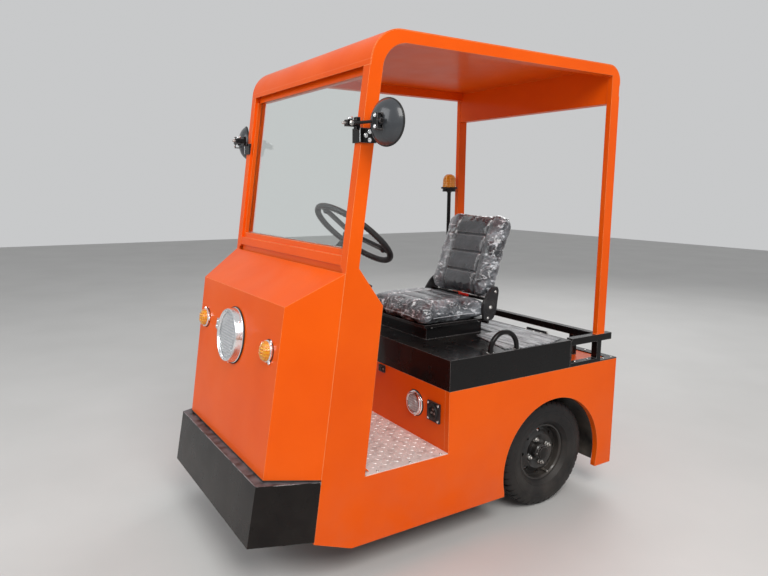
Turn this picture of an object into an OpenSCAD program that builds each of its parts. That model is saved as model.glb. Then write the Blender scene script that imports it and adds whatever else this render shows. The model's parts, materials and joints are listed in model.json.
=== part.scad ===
// Three-wheeled airport baggage tug with an open cab.
// Front of the vehicle towards -Y, its left side towards +X, up is +Z.
// The origin lies on the ground under the middle of the whole vehicle.

/* [Cab outline] */
// Width over the two side panels
body_w = 1000; // [900:5:1150]
// Height of the roof above the ground
roof_z = 1862; // [1800:2:1950]
// How far the roof skin reaches down above the windscreen
lip_drop = 121; // [100:1:160]
// Position of the cab's front line where the nose meets the windscreen
screen_foot_y = -575; // [-590:1:-560]
// Lean of the front pillars from the vertical, degrees
rake = 7.63; // [5:0.1:9]
// Radius of the roof's front corner
roof_front_r = 120; // [90:1:120]
// Radius of the roof's rear corner
roof_rear_r = 66; // [40:1:70]
// Rear face of the rear pillars
pillar_rear_y = 725; // [690:1:760]
// Length of the front pillars' section
pillar_len = 48; // [40:1:60]
// Depth of the front pillars and roof rails towards the middle
pillar_depth = 40; // [32:1:50]
// Length of the rear pillars' section
rear_pillar_len = 48; // [40:1:60]
// Depth of the rear pillars towards the middle
rear_pillar_depth = 24; // [20:1:30]
// Height of the side rails under the roof
roof_rail_h = 42; // [36:1:60]
// Height of the front header under the roof skin's end
front_header_h = 22; // [15:1:45]
// How far the rear header reaches down from the top of the roof
rear_header_h = 152; // [90:1:170]
// Thickness of the folded sheet metal
sheet_t = 3; // [2:0.5:4]
// Wall thickness of the nose
nose_t = 4; // [3:0.5:6]

/* [Side panels] */
// Thickness of the side panels' lower walls
wall_t = 25; // [15:1:30]
// Height of the body's lower edge
sill_z = 120; // [100:1:140]
// Height of that edge at the front, where it is cut up
nose_sill_z = 178; // [150:1:182]
// Where the cut begins
nose_cut_y = -552; // [-600:1:-510]
// Height of the body's top at the rear
deck_z = 611; // [590:1:640]
// Rear end of the body
body_rear_y = 820; // [800:1:850]
// Front face of the seat base, the rear edge of the doorway
riser_y = -134; // [-180:1:-100]
// Height of the floor above the long rails of the chassis
floor_rise = 23; // [15:1:30]
// Front edge of the doorway at the floor
door_low_y = -499; // [-520:1:-490]
// Front edge of the doorway at the panel's upper corner
door_high_y = -431; // [-450:1:-400]
// Height of that corner
door_corner_z = 965; // [900:1:990]
// Height where the panel narrows to the pillar
door_neck_z = 1097; // [1040:1:1140]
// How far the wheel arch's centre lies behind the axle
arch_shift = 10; // [0:1:20]
// How far that centre lies under the axle
arch_drop = 29; // [15:1:40]
// How much larger the arch's radius is than the tyre's
arch_room = 53; // [45:1:60]

/* [Nose and bumper] */
// How far the nose's front upper corners lie in from the body's side
nose_top_in = 87; // [60:1:120]
// Position of those corners
nose_top_y = -751; // [-780:1:-730]
// Height of those corners
nose_top_z = 975; // [940:1:1000]
// How far the nose's lower corners lie in from the body's side
nose_low_in = 99; // [70:1:130]
// Position of those corners
nose_low_y = -832; // [-845:1:-800]
// Height of the nose's lower edge
nose_low_z = 400; // [398:1:420]
// Height where the nose meets the windscreen
nose_rear_z = 1082; // [1060:1:1090]
// How far the bumper's front corners lie in from the body's side
bumper_in = 80; // [60:1:120]
// Front of the bumper at its upper edge
bumper_top_y = -865; // [-885:1:-850]
// Front of the bumper at its lower edge
bumper_low_y = -900; // [-915:1:-880]
// Upper edge of the bumper
bumper_top_z = 393; // [370:1:395]
// Lower edge of the bumper
bumper_low_z = 186; // [160:1:200]
// Plate thickness of the bumper
bumper_t = 6; // [4:1:10]
// Width of the bumper's folded lips
bumper_lip = 36; // [20:1:45]

/* [Lamps] */
// Radius of the headlamp's ring
headlamp_r = 104; // [90:1:112]
// Height of the headlamp's centre
headlamp_z = 805; // [780:1:830]
// How far the headlamp's ring stands out
headlamp_depth = 32; // [26:1:60]
// How far the headlamp's lens lies behind the ring's rim
lens_in = 8; // [6:1:12]
// Radius of the front indicators
indicator_r = 38; // [30:1:40]
// How far the front indicators lie in from the nose's upper corners
indicator_in = 83; // [60:1:100]
// Height of the front indicators
indicator_z = 815; // [780:1:840]
// Radius of the round lamp on the seat base
riser_lamp_r = 50; // [40:1:56]
// How far the charging socket lies in from the body's side
socket_in = 89; // [75:1:110]
// Distance between that lamp and the charging socket
riser_fit_gap = 125; // [110:1:150]
// Width of the charging socket's flange
socket_w = 76; // [60:1:80]
// Height of the lamp and the socket on the seat base
riser_fit_z = 510; // [470:1:530]
// Radius of the tail lamps
tail_lamp_r = 48; // [35:1:55]
// How far the tail lamps lie in from the body's side
tail_lamp_in = 120; // [90:1:150]
// Height of the tail lamps
tail_lamp_z = 520; // [480:1:540]

/* [Seat and lid] */
// Height of the lid box's top
lid_z = 731; // [710:1:760]
// Rear end of the lid box
lid_rear_y = 512; // [490:1:515]
// Half width of the seat cushion
seat_x = 208; // [190:1:220]
// Front end of the seat cushion
cushion_front_y = -48; // [-70:1:-30]
// Rear end of the seat cushion
cushion_rear_y = 298; // [280:1:320]
// Top of the seat cushion
cushion_z = 880; // [865:1:900]
// Thickness of the seat cushion
cushion_t = 84; // [70:1:100]
// Lower end of the backrest above the cushion's top
back_gap = 16; // [10:1:30]
// Length of the backrest
back_len = 372; // [340:1:400]
// Thickness of the backrest
back_t = 88; // [70:1:100]
// Lean of the backrest from the vertical, degrees
back_lean = 19; // [10:1:25]
// Half width of the backrest
back_x = 192; // [170:1:205]
// Front end of the mat beside the seat, at its inner corners
mat_in_y = 222; // [190:1:240]
// Front end of the mat at its outer corners
mat_out_y = 158; // [130:1:200]
// Gap between the mat and the lid's rear end
mat_rear_gap = 28; // [15:1:40]
// Radius of the grab handles' tube
handle_r = 10; // [6:0.5:12]
// Half span of the grab handles
handle_span = 79; // [60:1:85]
// Height of the grab handles above the lid
handle_h = 86; // [80:1:95]
// Distance of the grab handles' middle behind the lid's front
handle_back = 272; // [200:1:330]

/* [Rear rails] */
// Side of the square tubes
rail_w = 30; // [25:1:36]
// Top of the rails, where the rear pillars stand
rail_z = 735; // [725:1:745]
// Rear end of the side rails
rail_rear_y = 774; // [750:1:800]
// How far the posts under the cross rail lie in from the body's side
rail_post_in = 155; // [120:1:200]

/* [Wheels] */
// Radius of the rear tyres
rear_r = 232; // [225:1:240]
// Width of the rear tyres
rear_tyre_w = 140; // [125:1:145]
// How far the rear tyres' outer faces lie in from the body's side
rear_tyre_in = 30; // [15:1:40]
// Rear axle along the vehicle
rear_axle_y = 430; // [424:1:438]
// Radius of the rims at their flanges
rim_r = 134; // [125:1:145]
// Radius of the front tyre
front_r = 190; // [180:1:195]
// Width of the front tyre
front_tyre_w = 96; // [85:1:105]
// Radius of the front rim at its flanges
front_rim_r = 108; // [100:1:112]
// Steering pivot along the vehicle
kingpin_y = -630; // [-640:1:-620]
// How far the front axle trails the steering pivot
trail = 40; // [30:1:50]
// Radius of the front wheel's axle
front_axle_r = 12.5; // [10:0.5:15]
// Radius of the rear stub axles
rear_stub_r = 20; // [18:0.5:24]
// Radius of the steering pivot's shaft
kingpin_r = 22; // [18:0.5:26]
// Radial clearance of turning shafts
shaft_gap = 0.08; // [0.03:0.01:0.1]

/* [Running gear] */
// Height of the chassis rails' section
frame_h = 50; // [40:1:60]
// Width of the chassis rails' section
frame_w = 40; // [30:1:50]
// Distance of the middle cross member behind the seat base's front wall
mid_cross_y = 224; // [200:1:260]
// Distance of the rear cross member from the body's rear end
rear_cross_y = 180; // [150:1:200]
// Length of the batteries' block
battery_len = 540; // [450:1:560]
// Radius of the axle's tube
axle_r = 34; // [28:1:40]
// Radius of the differential's housing
diff_r = 62; // [55:1:75]
// Length of the lowest spring leaf
leaf_len = 340; // [300:1:380]
// Width of the spring leaves
leaf_w = 50; // [40:1:60]
// Thickness of a spring leaf
leaf_t = 8; // [6:1:10]
// Radius of the drive motor
motor_r = 72; // [60:1:76]
// Length of the drive motor
motor_len = 230; // [200:1:260]

/* [Steering] */
// Radius of the steering wheel at its rim's centre
steer_r = 178; // [160:1:190]
// Radius of the rim's section
steer_rim_r = 12; // [9:0.5:15]
// Steering wheel centre along the vehicle
steer_y = -254; // [-270:1:-240]
// Steering wheel centre above the ground
steer_z = 1170; // [1140:1:1190]
// Tilt of the steering wheel from the horizontal, degrees
steer_tilt = 40; // [36:1:44]
// Radius of the steering column's tube
column_r = 24; // [20:1:28]

/* [Fittings] */
// Height of the instrument panel's face
dash_h = 72; // [60:1:90]
// Radius of the mirrors
mirror_r = 74; // [60:1:85]
// How far the mirrors' middles lie out from the body's side
mirror_out = 102; // [90:1:120]
// How far those middles lie under the top of the roof
mirror_drop = 306; // [270:1:340]
// Turn of the mirrors towards the driver, degrees
mirror_toe = 12; // [5:1:20]
// Radius of the beacon's dome
beacon_r = 42; // [35:1:50]
// Height of the beacon's dome
beacon_h = 78; // [60:1:90]
// Height of the beacon's foot above the side rail
beacon_pole_h = 607; // [560:1:660]
// Radius of the towing bore
hitch_bore_r = 15; // [12:0.5:18]
// Gap between the towing jaw's plates
hitch_gap = 52; // [45:1:60]
// Height of the towing jaw's middle
hitch_z = 320; // [300:1:345]
// Reach of the towing jaw behind the body
hitch_reach = 80; // [70:1:90]

/* [Hidden] */
$fn = 64;
half_w = body_w / 2;
seat_gap = 0.3;
lip_z = roof_z - lip_drop;
pillar_in = half_w - pillar_depth;
rear_pillar_in = half_w - rear_pillar_depth;
panel_in = half_w - wall_t;
roof_in_z = roof_z - roof_rail_h;
rear_pillar_y = pillar_rear_y - rear_pillar_len;
rail_low_z = rail_z - rail_w;
lid_w = body_w;
lid_low_z = deck_z + seat_gap;
handle_y = riser_y + handle_back;
hinge_r = 6;
hinge_y = lid_rear_y + hinge_r + 1;
hinge_z = lid_z + 2;
upstand_t = 6;
upstand_y = lid_rear_y + 3;
wheel_x = half_w - rear_tyre_in - rear_tyre_w / 2;
tyre_in_x = wheel_x - rear_tyre_w / 2;
liner_x = tyre_in_x - 27;
arch_y = rear_axle_y + arch_shift;
arch_z = rear_r - arch_drop;
arch_r = rear_r + arch_room;
nose_top_x = half_w - nose_top_in;
nose_low_x = half_w - nose_low_in;
bumper_x = half_w - bumper_in;
indicator_x = nose_top_x - indicator_in;
socket_x = half_w - socket_in;
riser_lamp_x = socket_x - riser_fit_gap;
tail_lamp_x = half_w - tail_lamp_in;
rail_post_x = half_w - rail_post_in;
hinge_x = half_w - 200;
front_axle_y = kingpin_y + trail;
spring_z = rear_r + axle_r + 4;
frame_x = tyre_in_x - 80;
frame_low_z = spring_z + 3 * leaf_t + 6;
frame_top_z = frame_low_z + frame_h;
floor_z = frame_top_z + floor_rise;
bulkhead_y = screen_foot_y + 13;
toe_y = bulkhead_y + 92;
toe_z = floor_z + 97;
toe_lean = atan((toe_z - floor_z) / (toe_y - bulkhead_y));
bar_z = nose_rear_z - 12;
dash_z = bar_z - seat_gap - dash_h;
crown_low_z = 2 * front_r + 18;
crown_t = 16;
cross_z = crown_low_z + crown_t + 8;
cross_t = 30;
cross_len = 104;
column_len = (steer_y - kingpin_y) / sin(steer_tilt);
gearbox_z = steer_z - (steer_y - kingpin_y) / tan(steer_tilt);
frame_front_y = front_axle_y + front_r + 20;
back_low_z = cushion_z + back_gap;
back_low_y = cushion_rear_y - 22;
cos_rake = cos(rake);

// Position of the raked front line at a height
function front_y(z) = screen_foot_y + (z - nose_rear_z) * tan(rake);

// Position of the nose's front plane at a height
function nose_y(z) = nose_low_y + (z - nose_low_z) * (nose_top_y - nose_low_y) / (nose_top_z - nose_low_z);

// Lean of the nose's front plane from the vertical
nose_lean = atan((nose_top_y - nose_low_y) / (nose_top_z - nose_low_z));

// Draws a side view, Y across and Z up, from one sideways place to another
module side_view(x0, x1) {
  translate([x0, 0, 0]) rotate([90, 0, 90]) linear_extrude(x1 - x0) children();
}

// Gives the children and their mirror image on the other side
module both_sides() {
  children();
  mirror([1, 0, 0]) children();
}

// Places children on the nose's front plane, with +Z pointing forwards out of it
module on_nose(x, z) {
  translate([x, nose_y(z), z]) rotate([90 - nose_lean, 0, 0]) children();
}

// The cab's outline in side view, from the sill to the roof, moved in by an amount
module cab_outline(inset) {
  fr = roof_front_r - inset;
  rr = roof_rear_r - inset;
  fz = roof_z - roof_front_r;
  fy = front_y(fz) + roof_front_r / cos_rake;
  ry = pillar_rear_y - roof_rear_r;
  polygon([
    [front_y(nose_sill_z) + inset / cos_rake, nose_sill_z],
    [fy - fr * cos_rake, fz + fr * sin(rake)],
    [fy, roof_z - inset],
    [ry, roof_z - inset],
    [pillar_rear_y - inset, roof_z - roof_rear_r],
    [pillar_rear_y - inset, sill_z],
    [nose_cut_y, sill_z]
  ]);
  translate([fy, fz]) circle(fr);
  translate([ry, roof_z - roof_rear_r]) circle(rr);
}

// The band that the roof skin takes up in side view
module roof_band() {
  difference() {
    cab_outline(0);
    cab_outline(sheet_t);
    translate([-body_w, 0]) square([2 * body_w, lip_z]);
  }
}

// The opening between the front pillar, the roof rail and the rear pillar
module cab_opening() {
  r = 98;
  top_z = roof_in_z;
  line_y = front_y(top_z - r) + (pillar_len + r) / cos_rake;
  difference() {
    polygon([
      [door_low_y, floor_z - sheet_t],
      [door_high_y, door_corner_z],
      [front_y(door_neck_z) + pillar_len / cos_rake, door_neck_z],
      [front_y(top_z) + pillar_len / cos_rake, top_z],
      [rear_pillar_y, top_z],
      [rear_pillar_y, rail_z],
      [riser_y, rail_z],
      [riser_y, floor_z - sheet_t]
    ]);
    difference() {
      translate([line_y - 2 * r, top_z - r]) square([2 * r, 2 * r]);
      translate([line_y, top_z - r]) circle(r);
    }
  }
}

// One side of the body: lower wall, front pillar, roof rail and rear pillar
module side_panel() {
  side_view(panel_in, half_w) difference() {
    union() {
      cab_outline(0);
      translate([nose_cut_y, sill_z]) square([body_rear_y - nose_cut_y, deck_z - sill_z]);
    }
    cab_opening();
    roof_band();
    translate([rear_pillar_y - 1, deck_z]) square([rear_pillar_len + 50, roof_in_z - deck_z]);
    translate([riser_y, deck_z]) square([pillar_rear_y - riser_y + 50, rail_z - deck_z]);
    translate([arch_y, arch_z]) circle(arch_r);
    translate([arch_y - arch_r + 8, 0]) square([2 * arch_r - 16, arch_z - 60]);
  }
  side_view(pillar_in, half_w) difference() {
    upper_frame();
    translate([rear_pillar_y - 1, 0]) square([rear_pillar_len + 50, roof_in_z]);
  }
  side_view(rear_pillar_in, half_w) intersection() {
    upper_frame();
    translate([rear_pillar_y - 1, 0]) square([rear_pillar_len + 50, roof_z]);
  }
}

// Side view of the front pillar, the roof rail and the rear pillar
module upper_frame() {
  difference() {
    cab_outline(0);
    cab_opening();
    roof_band();
    translate([-body_w, 0]) square([2 * body_w, rail_z]);
    translate([-body_w, 0]) square([body_w + door_high_y + 11, door_neck_z]);
  }
}

module side_panel_left() {
  color("orangered") side_panel();
}

module side_panel_right() {
  color("orangered") mirror([1, 0, 0]) side_panel();
}

// The roof sheet, bent down at both ends over the side rails
module roof_skin() {
  color("orangered") side_view(-half_w, half_w) difference() {
    roof_band();
    translate([pillar_rear_y - 100, 0]) square([200, roof_z - roof_rear_r - 12]);
  }
}

// Cross members under the roof at the windscreen and between the rear pillars
module roof_headers() {
  color("orangered") {
    side_view(-pillar_in, pillar_in) polygon([
      [front_y(screen_high_z) + 22, screen_high_z],
      [front_y(lip_z + 20) + 22, lip_z + 20],
      [front_y(lip_z + 20) + 60, lip_z + 20],
      [front_y(screen_high_z) + 60, screen_high_z]
    ]);
    side_view(-rear_pillar_in, rear_pillar_in) intersection() {
      cab_outline(sheet_t + seat_gap);
      translate([rear_pillar_y + 2, roof_z - rear_header_h])
        square([rear_pillar_len, roof_in_z - roof_z + rear_header_h]);
    }
    side_view(-pillar_in, pillar_in) intersection() {
      cab_outline(sheet_t + seat_gap);
      translate([rear_pillar_y + 2, roof_z - rear_header_h]) square([rear_pillar_len, rear_header_h]);
    }
  }
}

drip_low_z = nose_rear_z + 23;
drip_top_z = nose_rear_z + 54;
screen_low_z = nose_rear_z + 75;
screen_high_z = lip_z - front_header_h;
screen_inset = 26;

// Lower bar with its drip edge, and side beads, that hold the windscreen between the pillars
module windscreen_frame() {
  bead = 14;
  color("orangered") {
    difference() {
      side_view(-pillar_in, pillar_in) polygon([
        [front_y(bar_z) + 12, bar_z],
        [front_y(drip_low_z) + 12, drip_low_z],
        [front_y(drip_low_z) + 1, drip_low_z],
        [front_y(drip_top_z) + 1, drip_top_z],
        [front_y(drip_top_z) + 10, drip_top_z],
        [front_y(screen_high_z) + 10, screen_high_z],
        [front_y(screen_high_z) + 48, screen_high_z],
        [front_y(bar_z) + 48, bar_z]
      ]);
      side_view(bead - pillar_in, pillar_in - bead) polygon([
        [front_y(screen_low_z) - 20, screen_low_z],
        [front_y(screen_high_z + 9) - 20, screen_high_z + 9],
        [front_y(screen_high_z + 9) + 80, screen_high_z + 9],
        [front_y(screen_low_z) + 80, screen_low_z]
      ]);
      side_view(-pillar_in - 1, pillar_in + 1) polygon([
        [front_y(screen_low_z - 1) + screen_inset - seat_gap, screen_low_z - 8],
        [front_y(screen_high_z + 9) + screen_inset - seat_gap, screen_high_z + 9],
        [front_y(screen_high_z + 9) + screen_inset + 5 + seat_gap, screen_high_z + 9],
        [front_y(screen_low_z - 1) + screen_inset + 5 + seat_gap, screen_low_z - 8]
      ]);
    }
  }
}

// Flat windscreen pane
module windscreen_glass() {
  color("lightblue", 0.4) side_view(-pillar_in + seat_gap, pillar_in - seat_gap) polygon([
    [front_y(screen_low_z - 1) + screen_inset, screen_low_z - 7.7],
    [front_y(screen_high_z) + screen_inset, screen_high_z - seat_gap],
    [front_y(screen_high_z) + screen_inset + 5, screen_high_z - seat_gap],
    [front_y(screen_low_z - 1) + screen_inset + 5, screen_low_z - 7.7]
  ]);
}

// Solid between four corners and their mirror images: upper front, lower front, lower rear, upper rear
module mirrored_block(corners) {
  polyhedron(
    points = [for (side = [-1, 1]) for (p = corners) [side * p[0], p[1], p[2]]],
    faces = [
      [0, 4, 5, 1], [0, 3, 7, 4], [7, 3, 2, 6], [5, 6, 2, 1],
      [4, 6, 5], [4, 7, 6], [0, 1, 2], [0, 2, 3]
    ]
  );
}

// Solid form of the nose, moved in by an amount and drawn on down and back by shares of its size
module nose_form(inset, down, back) {
  upper_front = [nose_top_x - inset, nose_top_y + inset, nose_top_z - inset * 0.75];
  lower_front = [nose_low_x - inset, nose_low_y + inset, nose_low_z];
  lower_rear = [half_w - inset * 1.2, front_y(nose_low_z) - seat_gap, nose_low_z];
  upper_rear = [half_w - inset * 1.2, front_y(nose_rear_z) - seat_gap, nose_rear_z - inset * 1.25];
  drop = (lower_front - upper_front) * down;
  mirrored_block([
    upper_front,
    lower_front + drop,
    lower_rear + drop + (lower_rear - lower_front) * back,
    upper_rear + (upper_rear - upper_front) * back
  ]);
}

// Folded sheet nose with sloping top, raked front and chamfered cheeks
module nose_shell() {
  color("orangered") difference() {
    nose_form(0, 0, 0);
    nose_form(nose_t, 0.1, 0.3);
    on_nose(0, headlamp_z) cylinder(h = 60, r = headlamp_r - 12, center = true);
    for (side = [-1, 1]) on_nose(side * indicator_x, indicator_z)
      cylinder(h = 60, r = indicator_r - 10, center = true);
  }
}

// Solid form of the bumper, moved in by an amount and drawn on up and down by a share of its height
module bumper_form(inset, over) {
  upper_front = [bumper_x - inset * 0.8, bumper_top_y + inset, bumper_top_z];
  lower_front = [bumper_x - inset * 0.8, bumper_low_y + inset, bumper_low_z];
  lower_rear = [half_w - inset, front_y(bumper_low_z) - seat_gap + inset * 2, bumper_low_z];
  upper_rear = [half_w - inset, front_y(bumper_top_z) - seat_gap + inset * 2, bumper_top_z];
  mirrored_block([
    upper_front + (upper_front - lower_front) * over,
    lower_front - (upper_front - lower_front) * over,
    lower_rear - (upper_rear - lower_rear) * over,
    upper_rear + (upper_rear - lower_rear) * over
  ]);
}

// Folded plate bumper with an upper and a lower lip
module bumper() {
  color("#222222") difference() {
    bumper_form(0, 0);
    bumper_form(bumper_t, -bumper_t / (bumper_top_z - bumper_low_z));
    bumper_form(bumper_lip, 0.1);
  }
}

// Round headlamp's deep ring
module headlamp_ring() {
  color("silver") on_nose(0, headlamp_z) rotate_extrude() polygon([
    [headlamp_r - 14, -30],
    [headlamp_r - 12.3, -30],
    [headlamp_r - 12.3, seat_gap],
    [headlamp_r + 1, seat_gap],
    [headlamp_r + 1, 5],
    [headlamp_r - 1, 7],
    [headlamp_r - 5, headlamp_depth - 3],
    [headlamp_r - 7, headlamp_depth],
    [headlamp_r - 11, headlamp_depth],
    [headlamp_r - 13, headlamp_depth - lens_in + 2],
    [headlamp_r - 17, headlamp_depth - lens_in + 2],
    [headlamp_r - 17, headlamp_depth - lens_in],
    [headlamp_r - 14, headlamp_depth - lens_in]
  ]);
}

// Domed headlamp lens, held under the lip inside the ring
module headlamp_lens() {
  r = headlamp_r - 14 - seat_gap;
  seat_z = headlamp_depth - lens_in - seat_gap;
  color("lightgray", 0.6) on_nose(0, headlamp_z) {
    translate([0, 0, seat_z - 10]) cylinder(h = 10, r = r);
    translate([0, 0, seat_z]) cylinder(h = 6, r1 = r - 3.2, r2 = r - 26);
  }
}

// Chrome rings of the two front indicators
module indicator_rings() {
  color("silver") for (side = [-1, 1]) on_nose(side * indicator_x, indicator_z)
    rotate_extrude() polygon([
      [indicator_r - 12, -10],
      [indicator_r - 10.3, -10],
      [indicator_r - 10.3, seat_gap],
      [indicator_r, seat_gap],
      [indicator_r, 7],
      [indicator_r - 2, 10],
      [indicator_r - 4, 10],
      [indicator_r - 4, 4],
      [indicator_r - 12, 4]
    ]);
}

// Amber lenses of the two front indicators
module indicator_lenses() {
  color("orange", 0.8) for (side = [-1, 1]) on_nose(side * indicator_x, indicator_z)
    rotate_extrude() polygon([
      [0, 4 + seat_gap],
      [indicator_r - 4 - seat_gap, 4 + seat_gap],
      [indicator_r - 4 - seat_gap, 14],
      [indicator_r - 8, 22],
      [indicator_r - 18, 27],
      [0, 28]
    ]);
}

// Tread plate floor, lying over the sills in the doorways
module floor_plate() {
  color("silver") {
    translate([-panel_in, bulkhead_y + 95, floor_z - sheet_t])
      cube([2 * panel_in, riser_y - bulkhead_y - 95, sheet_t]);
    translate([-half_w + 2, door_low_y + 4, floor_z - sheet_t])
      cube([body_w - 4, riser_y - door_low_y - 4, sheet_t]);
  }
}

// Toe board and bulkhead in front of the driver's feet
module bulkhead() {
  color("orangered") difference() {
    side_view(-panel_in, panel_in) polygon([
      [toe_y + 3, floor_z],
      [toe_y + 3 - 5, floor_z],
      [bulkhead_y, toe_z],
      [bulkhead_y, dash_z],
      [bulkhead_y + sheet_t, dash_z],
      [bulkhead_y + sheet_t, toe_z + 1],
      [toe_y + 3, floor_z + 1]
    ]);
    on_column(-column_len) cylinder(h = column_len, r = column_r + 1);
  }
}

// Places children along the steering column, +Z towards the driver, zero at the wheel's centre
module on_column(d) {
  translate([0, steer_y, steer_z]) rotate([-steer_tilt, 0, 0]) translate([0, 0, d]) children();
}

// Upright front wall of the seat base
module seat_riser() {
  color("orangered") difference() {
    translate([-panel_in, riser_y, floor_z - sheet_t])
      cube([2 * panel_in, sheet_t, deck_z - floor_z + sheet_t]);
    translate([riser_lamp_x, riser_y, riser_fit_z]) rotate([90, 0, 0])
      cylinder(h = 40, r = riser_lamp_r - 10, center = true);
    translate([socket_x, riser_y, riser_fit_z]) rotate([90, 0, 0])
      cylinder(h = 40, r = socket_w / 2 - 12, center = true);
  }
}

// Ring of the round lamp on the seat base
module riser_lamp_ring() {
  color("silver") translate([riser_lamp_x, riser_y, riser_fit_z]) rotate([90, 0, 0])
    rotate_extrude() polygon([
      [riser_lamp_r - 12, -12],
      [riser_lamp_r - 10.3, -12],
      [riser_lamp_r - 10.3, seat_gap],
      [riser_lamp_r, seat_gap],
      [riser_lamp_r, 5],
      [riser_lamp_r - 5, 11],
      [riser_lamp_r - 9, 11],
      [riser_lamp_r - 9, 3],
      [riser_lamp_r - 12, 3]
    ]);
}

// Bright rings of the lamps on the nose and the seat base
module lamp_rings() {
  headlamp_ring();
  indicator_rings();
  riser_lamp_ring();
}

// Clear lens of that lamp
module riser_lamp_lens() {
  color("lightgray", 0.6) translate([riser_lamp_x, riser_y, riser_fit_z]) rotate([90, 0, 0])
    rotate_extrude() polygon([
      [0, 3 + seat_gap],
      [riser_lamp_r - 9 - seat_gap, 3 + seat_gap],
      [riser_lamp_r - 9 - seat_gap, 8],
      [riser_lamp_r - 20, 12],
      [0, 14]
    ]);
}

// Square charging socket beside the lamp
module charge_socket() {
  w = socket_w;
  color("#181818") translate([socket_x, riser_y, riser_fit_z]) rotate([90, 0, 0]) difference() {
    union() {
      translate([-w / 2, -w / 2, seat_gap]) cube([w, w, 8]);
      cylinder(h = 13, r = w / 2 - 10);
      translate([0, 0, -28]) cylinder(h = 29, r = w / 2 - 12.5);
    }
    translate([0, 0, 6]) cylinder(h = 30, r = w / 2 - 16);
  }
}

// Two long rails with cross members under floor, battery and deck
module chassis_frame() {
  nose_crossmember();
  color("#242424") {
    for (side = [-1, 1])
      translate([side * frame_x - frame_w / 2, frame_front_y, frame_low_z])
        cube([frame_w, body_rear_y - frame_front_y - sheet_t, frame_top_z - frame_low_z]);
    for (y = [riser_y + mid_cross_y, body_rear_y - rear_cross_y])
      translate([-frame_x, y, frame_low_z + 8]) cube([2 * frame_x, 40, frame_top_z - frame_low_z - 8]);
    for (y = [frame_front_y, riser_y - 20])
      translate([-panel_in, y, frame_low_z + 8])
        cube([2 * panel_in, 40, floor_z - sheet_t - frame_low_z - 8]);
    translate([-panel_in, body_rear_y - 54, frame_low_z + 8])
      cube([2 * panel_in, 40, frame_top_z - frame_low_z - 8]);
  }
}

// Beam across the nose that carries the steering pivot
module nose_crossmember() {
  y0 = kingpin_y - cross_len / 2;
  color("#242424") difference() {
    union() {
      translate([-panel_in, y0, cross_z]) cube([2 * panel_in, cross_len, cross_t]);
      translate([0, kingpin_y, cross_z]) cylinder(h = 90, r = kingpin_r + 16);
    }
    translate([0, kingpin_y, cross_z - 1]) cylinder(h = 100, r = kingpin_r + shaft_gap);
  }
}

// Traction batteries, one plain block
module battery_pack() {
  half = liner_x - sheet_t - 10;
  color("dimgray") translate([-half, riser_y + 24, frame_top_z])
    cube([2 * half, battery_len, deck_z - 29 - frame_top_z]);
}

// Deck plate behind the lid
module rear_deck() {
  color("orangered") translate([-panel_in, upstand_y, deck_z - sheet_t])
    cube([2 * panel_in, body_rear_y - upstand_y, sheet_t]);
}

// Rear wall of the body
module rear_panel() {
  color("orangered") difference() {
    translate([-panel_in, body_rear_y - sheet_t, sill_z + 6])
      cube([2 * panel_in, sheet_t, deck_z - sheet_t - sill_z - 6]);
    for (side = [-1, 1]) translate([side * tail_lamp_x, body_rear_y, tail_lamp_z]) rotate([90, 0, 0])
      cylinder(h = 40, r = tail_lamp_r - 14, center = true);
  }
}

// Round tail lamps
module tail_lamps() {
  color("red") for (side = [-1, 1])
    translate([side * tail_lamp_x, body_rear_y, tail_lamp_z]) rotate([-90, 0, 0])
      rotate_extrude() polygon([
        [0, -12],
        [tail_lamp_r - 14.3, -12],
        [tail_lamp_r - 14.3, seat_gap],
        [tail_lamp_r, seat_gap],
        [tail_lamp_r, 14],
        [tail_lamp_r - 4, 18],
        [tail_lamp_r - 12, 22],
        [0, 24]
      ]);
}

// Towing jaw: back plate, two jaw plates and side gussets, with one upright bore
module tow_hitch() {
  w = 110;
  t = 14;
  pin_y = body_rear_y + hitch_reach - 30;
  color("#242424") difference() {
    union() {
      translate([-w / 2 - 20, body_rear_y, hitch_z - 70]) cube([w + 40, 12, 140]);
      for (z = [hitch_z - hitch_gap / 2 - t, hitch_z + hitch_gap / 2]) {
        translate([-w / 2, body_rear_y + 11, z]) cube([w, hitch_reach - 41, t]);
        translate([0, pin_y, z]) intersection() {
          cylinder(h = t, r = w / 2);
          translate([-w / 2, -1, 0]) cube([w, 31, t]);
        }
      }
    }
    translate([0, pin_y, hitch_z - 80]) cylinder(h = 160, r = hitch_bore_r);
  }
}

// Square tube rails behind the lid, on which the rear pillars stand, with the deck's edging
module rear_rails() {
  base_h = 17;
  side_y = upstand_y + upstand_t;
  post_y = rear_pillar_y + 6;
  post_len = 27;
  edge_w = 41;
  edge_t = 5;
  hinge_upstand();
  color("#222222") both_sides() {
    translate([half_w - rail_w, side_y, rail_low_z]) cube([rail_w, rail_rear_y - side_y, rail_w]);
    translate([half_w - rail_w, side_y, deck_z]) cube([rail_w, post_y + 4 - side_y, base_h]);
    translate([half_w - rail_w, post_y, deck_z]) cube([rail_w, post_len, rail_low_z - deck_z + 1]);
    translate([half_w - rail_w, post_y, deck_z]) cube([rail_w, body_rear_y - post_y, edge_t]);
    translate([0, body_rear_y - edge_w, deck_z]) cube([half_w, edge_w, edge_t]);
    translate([0, pillar_rear_y - 34, rail_low_z]) cube([half_w - rail_w + 1, rail_w, rail_w]);
    translate([rail_post_x - 12, pillar_rear_y - 31, deck_z]) cube([24, 24, rail_low_z - deck_z + 1]);
  }
}

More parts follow.
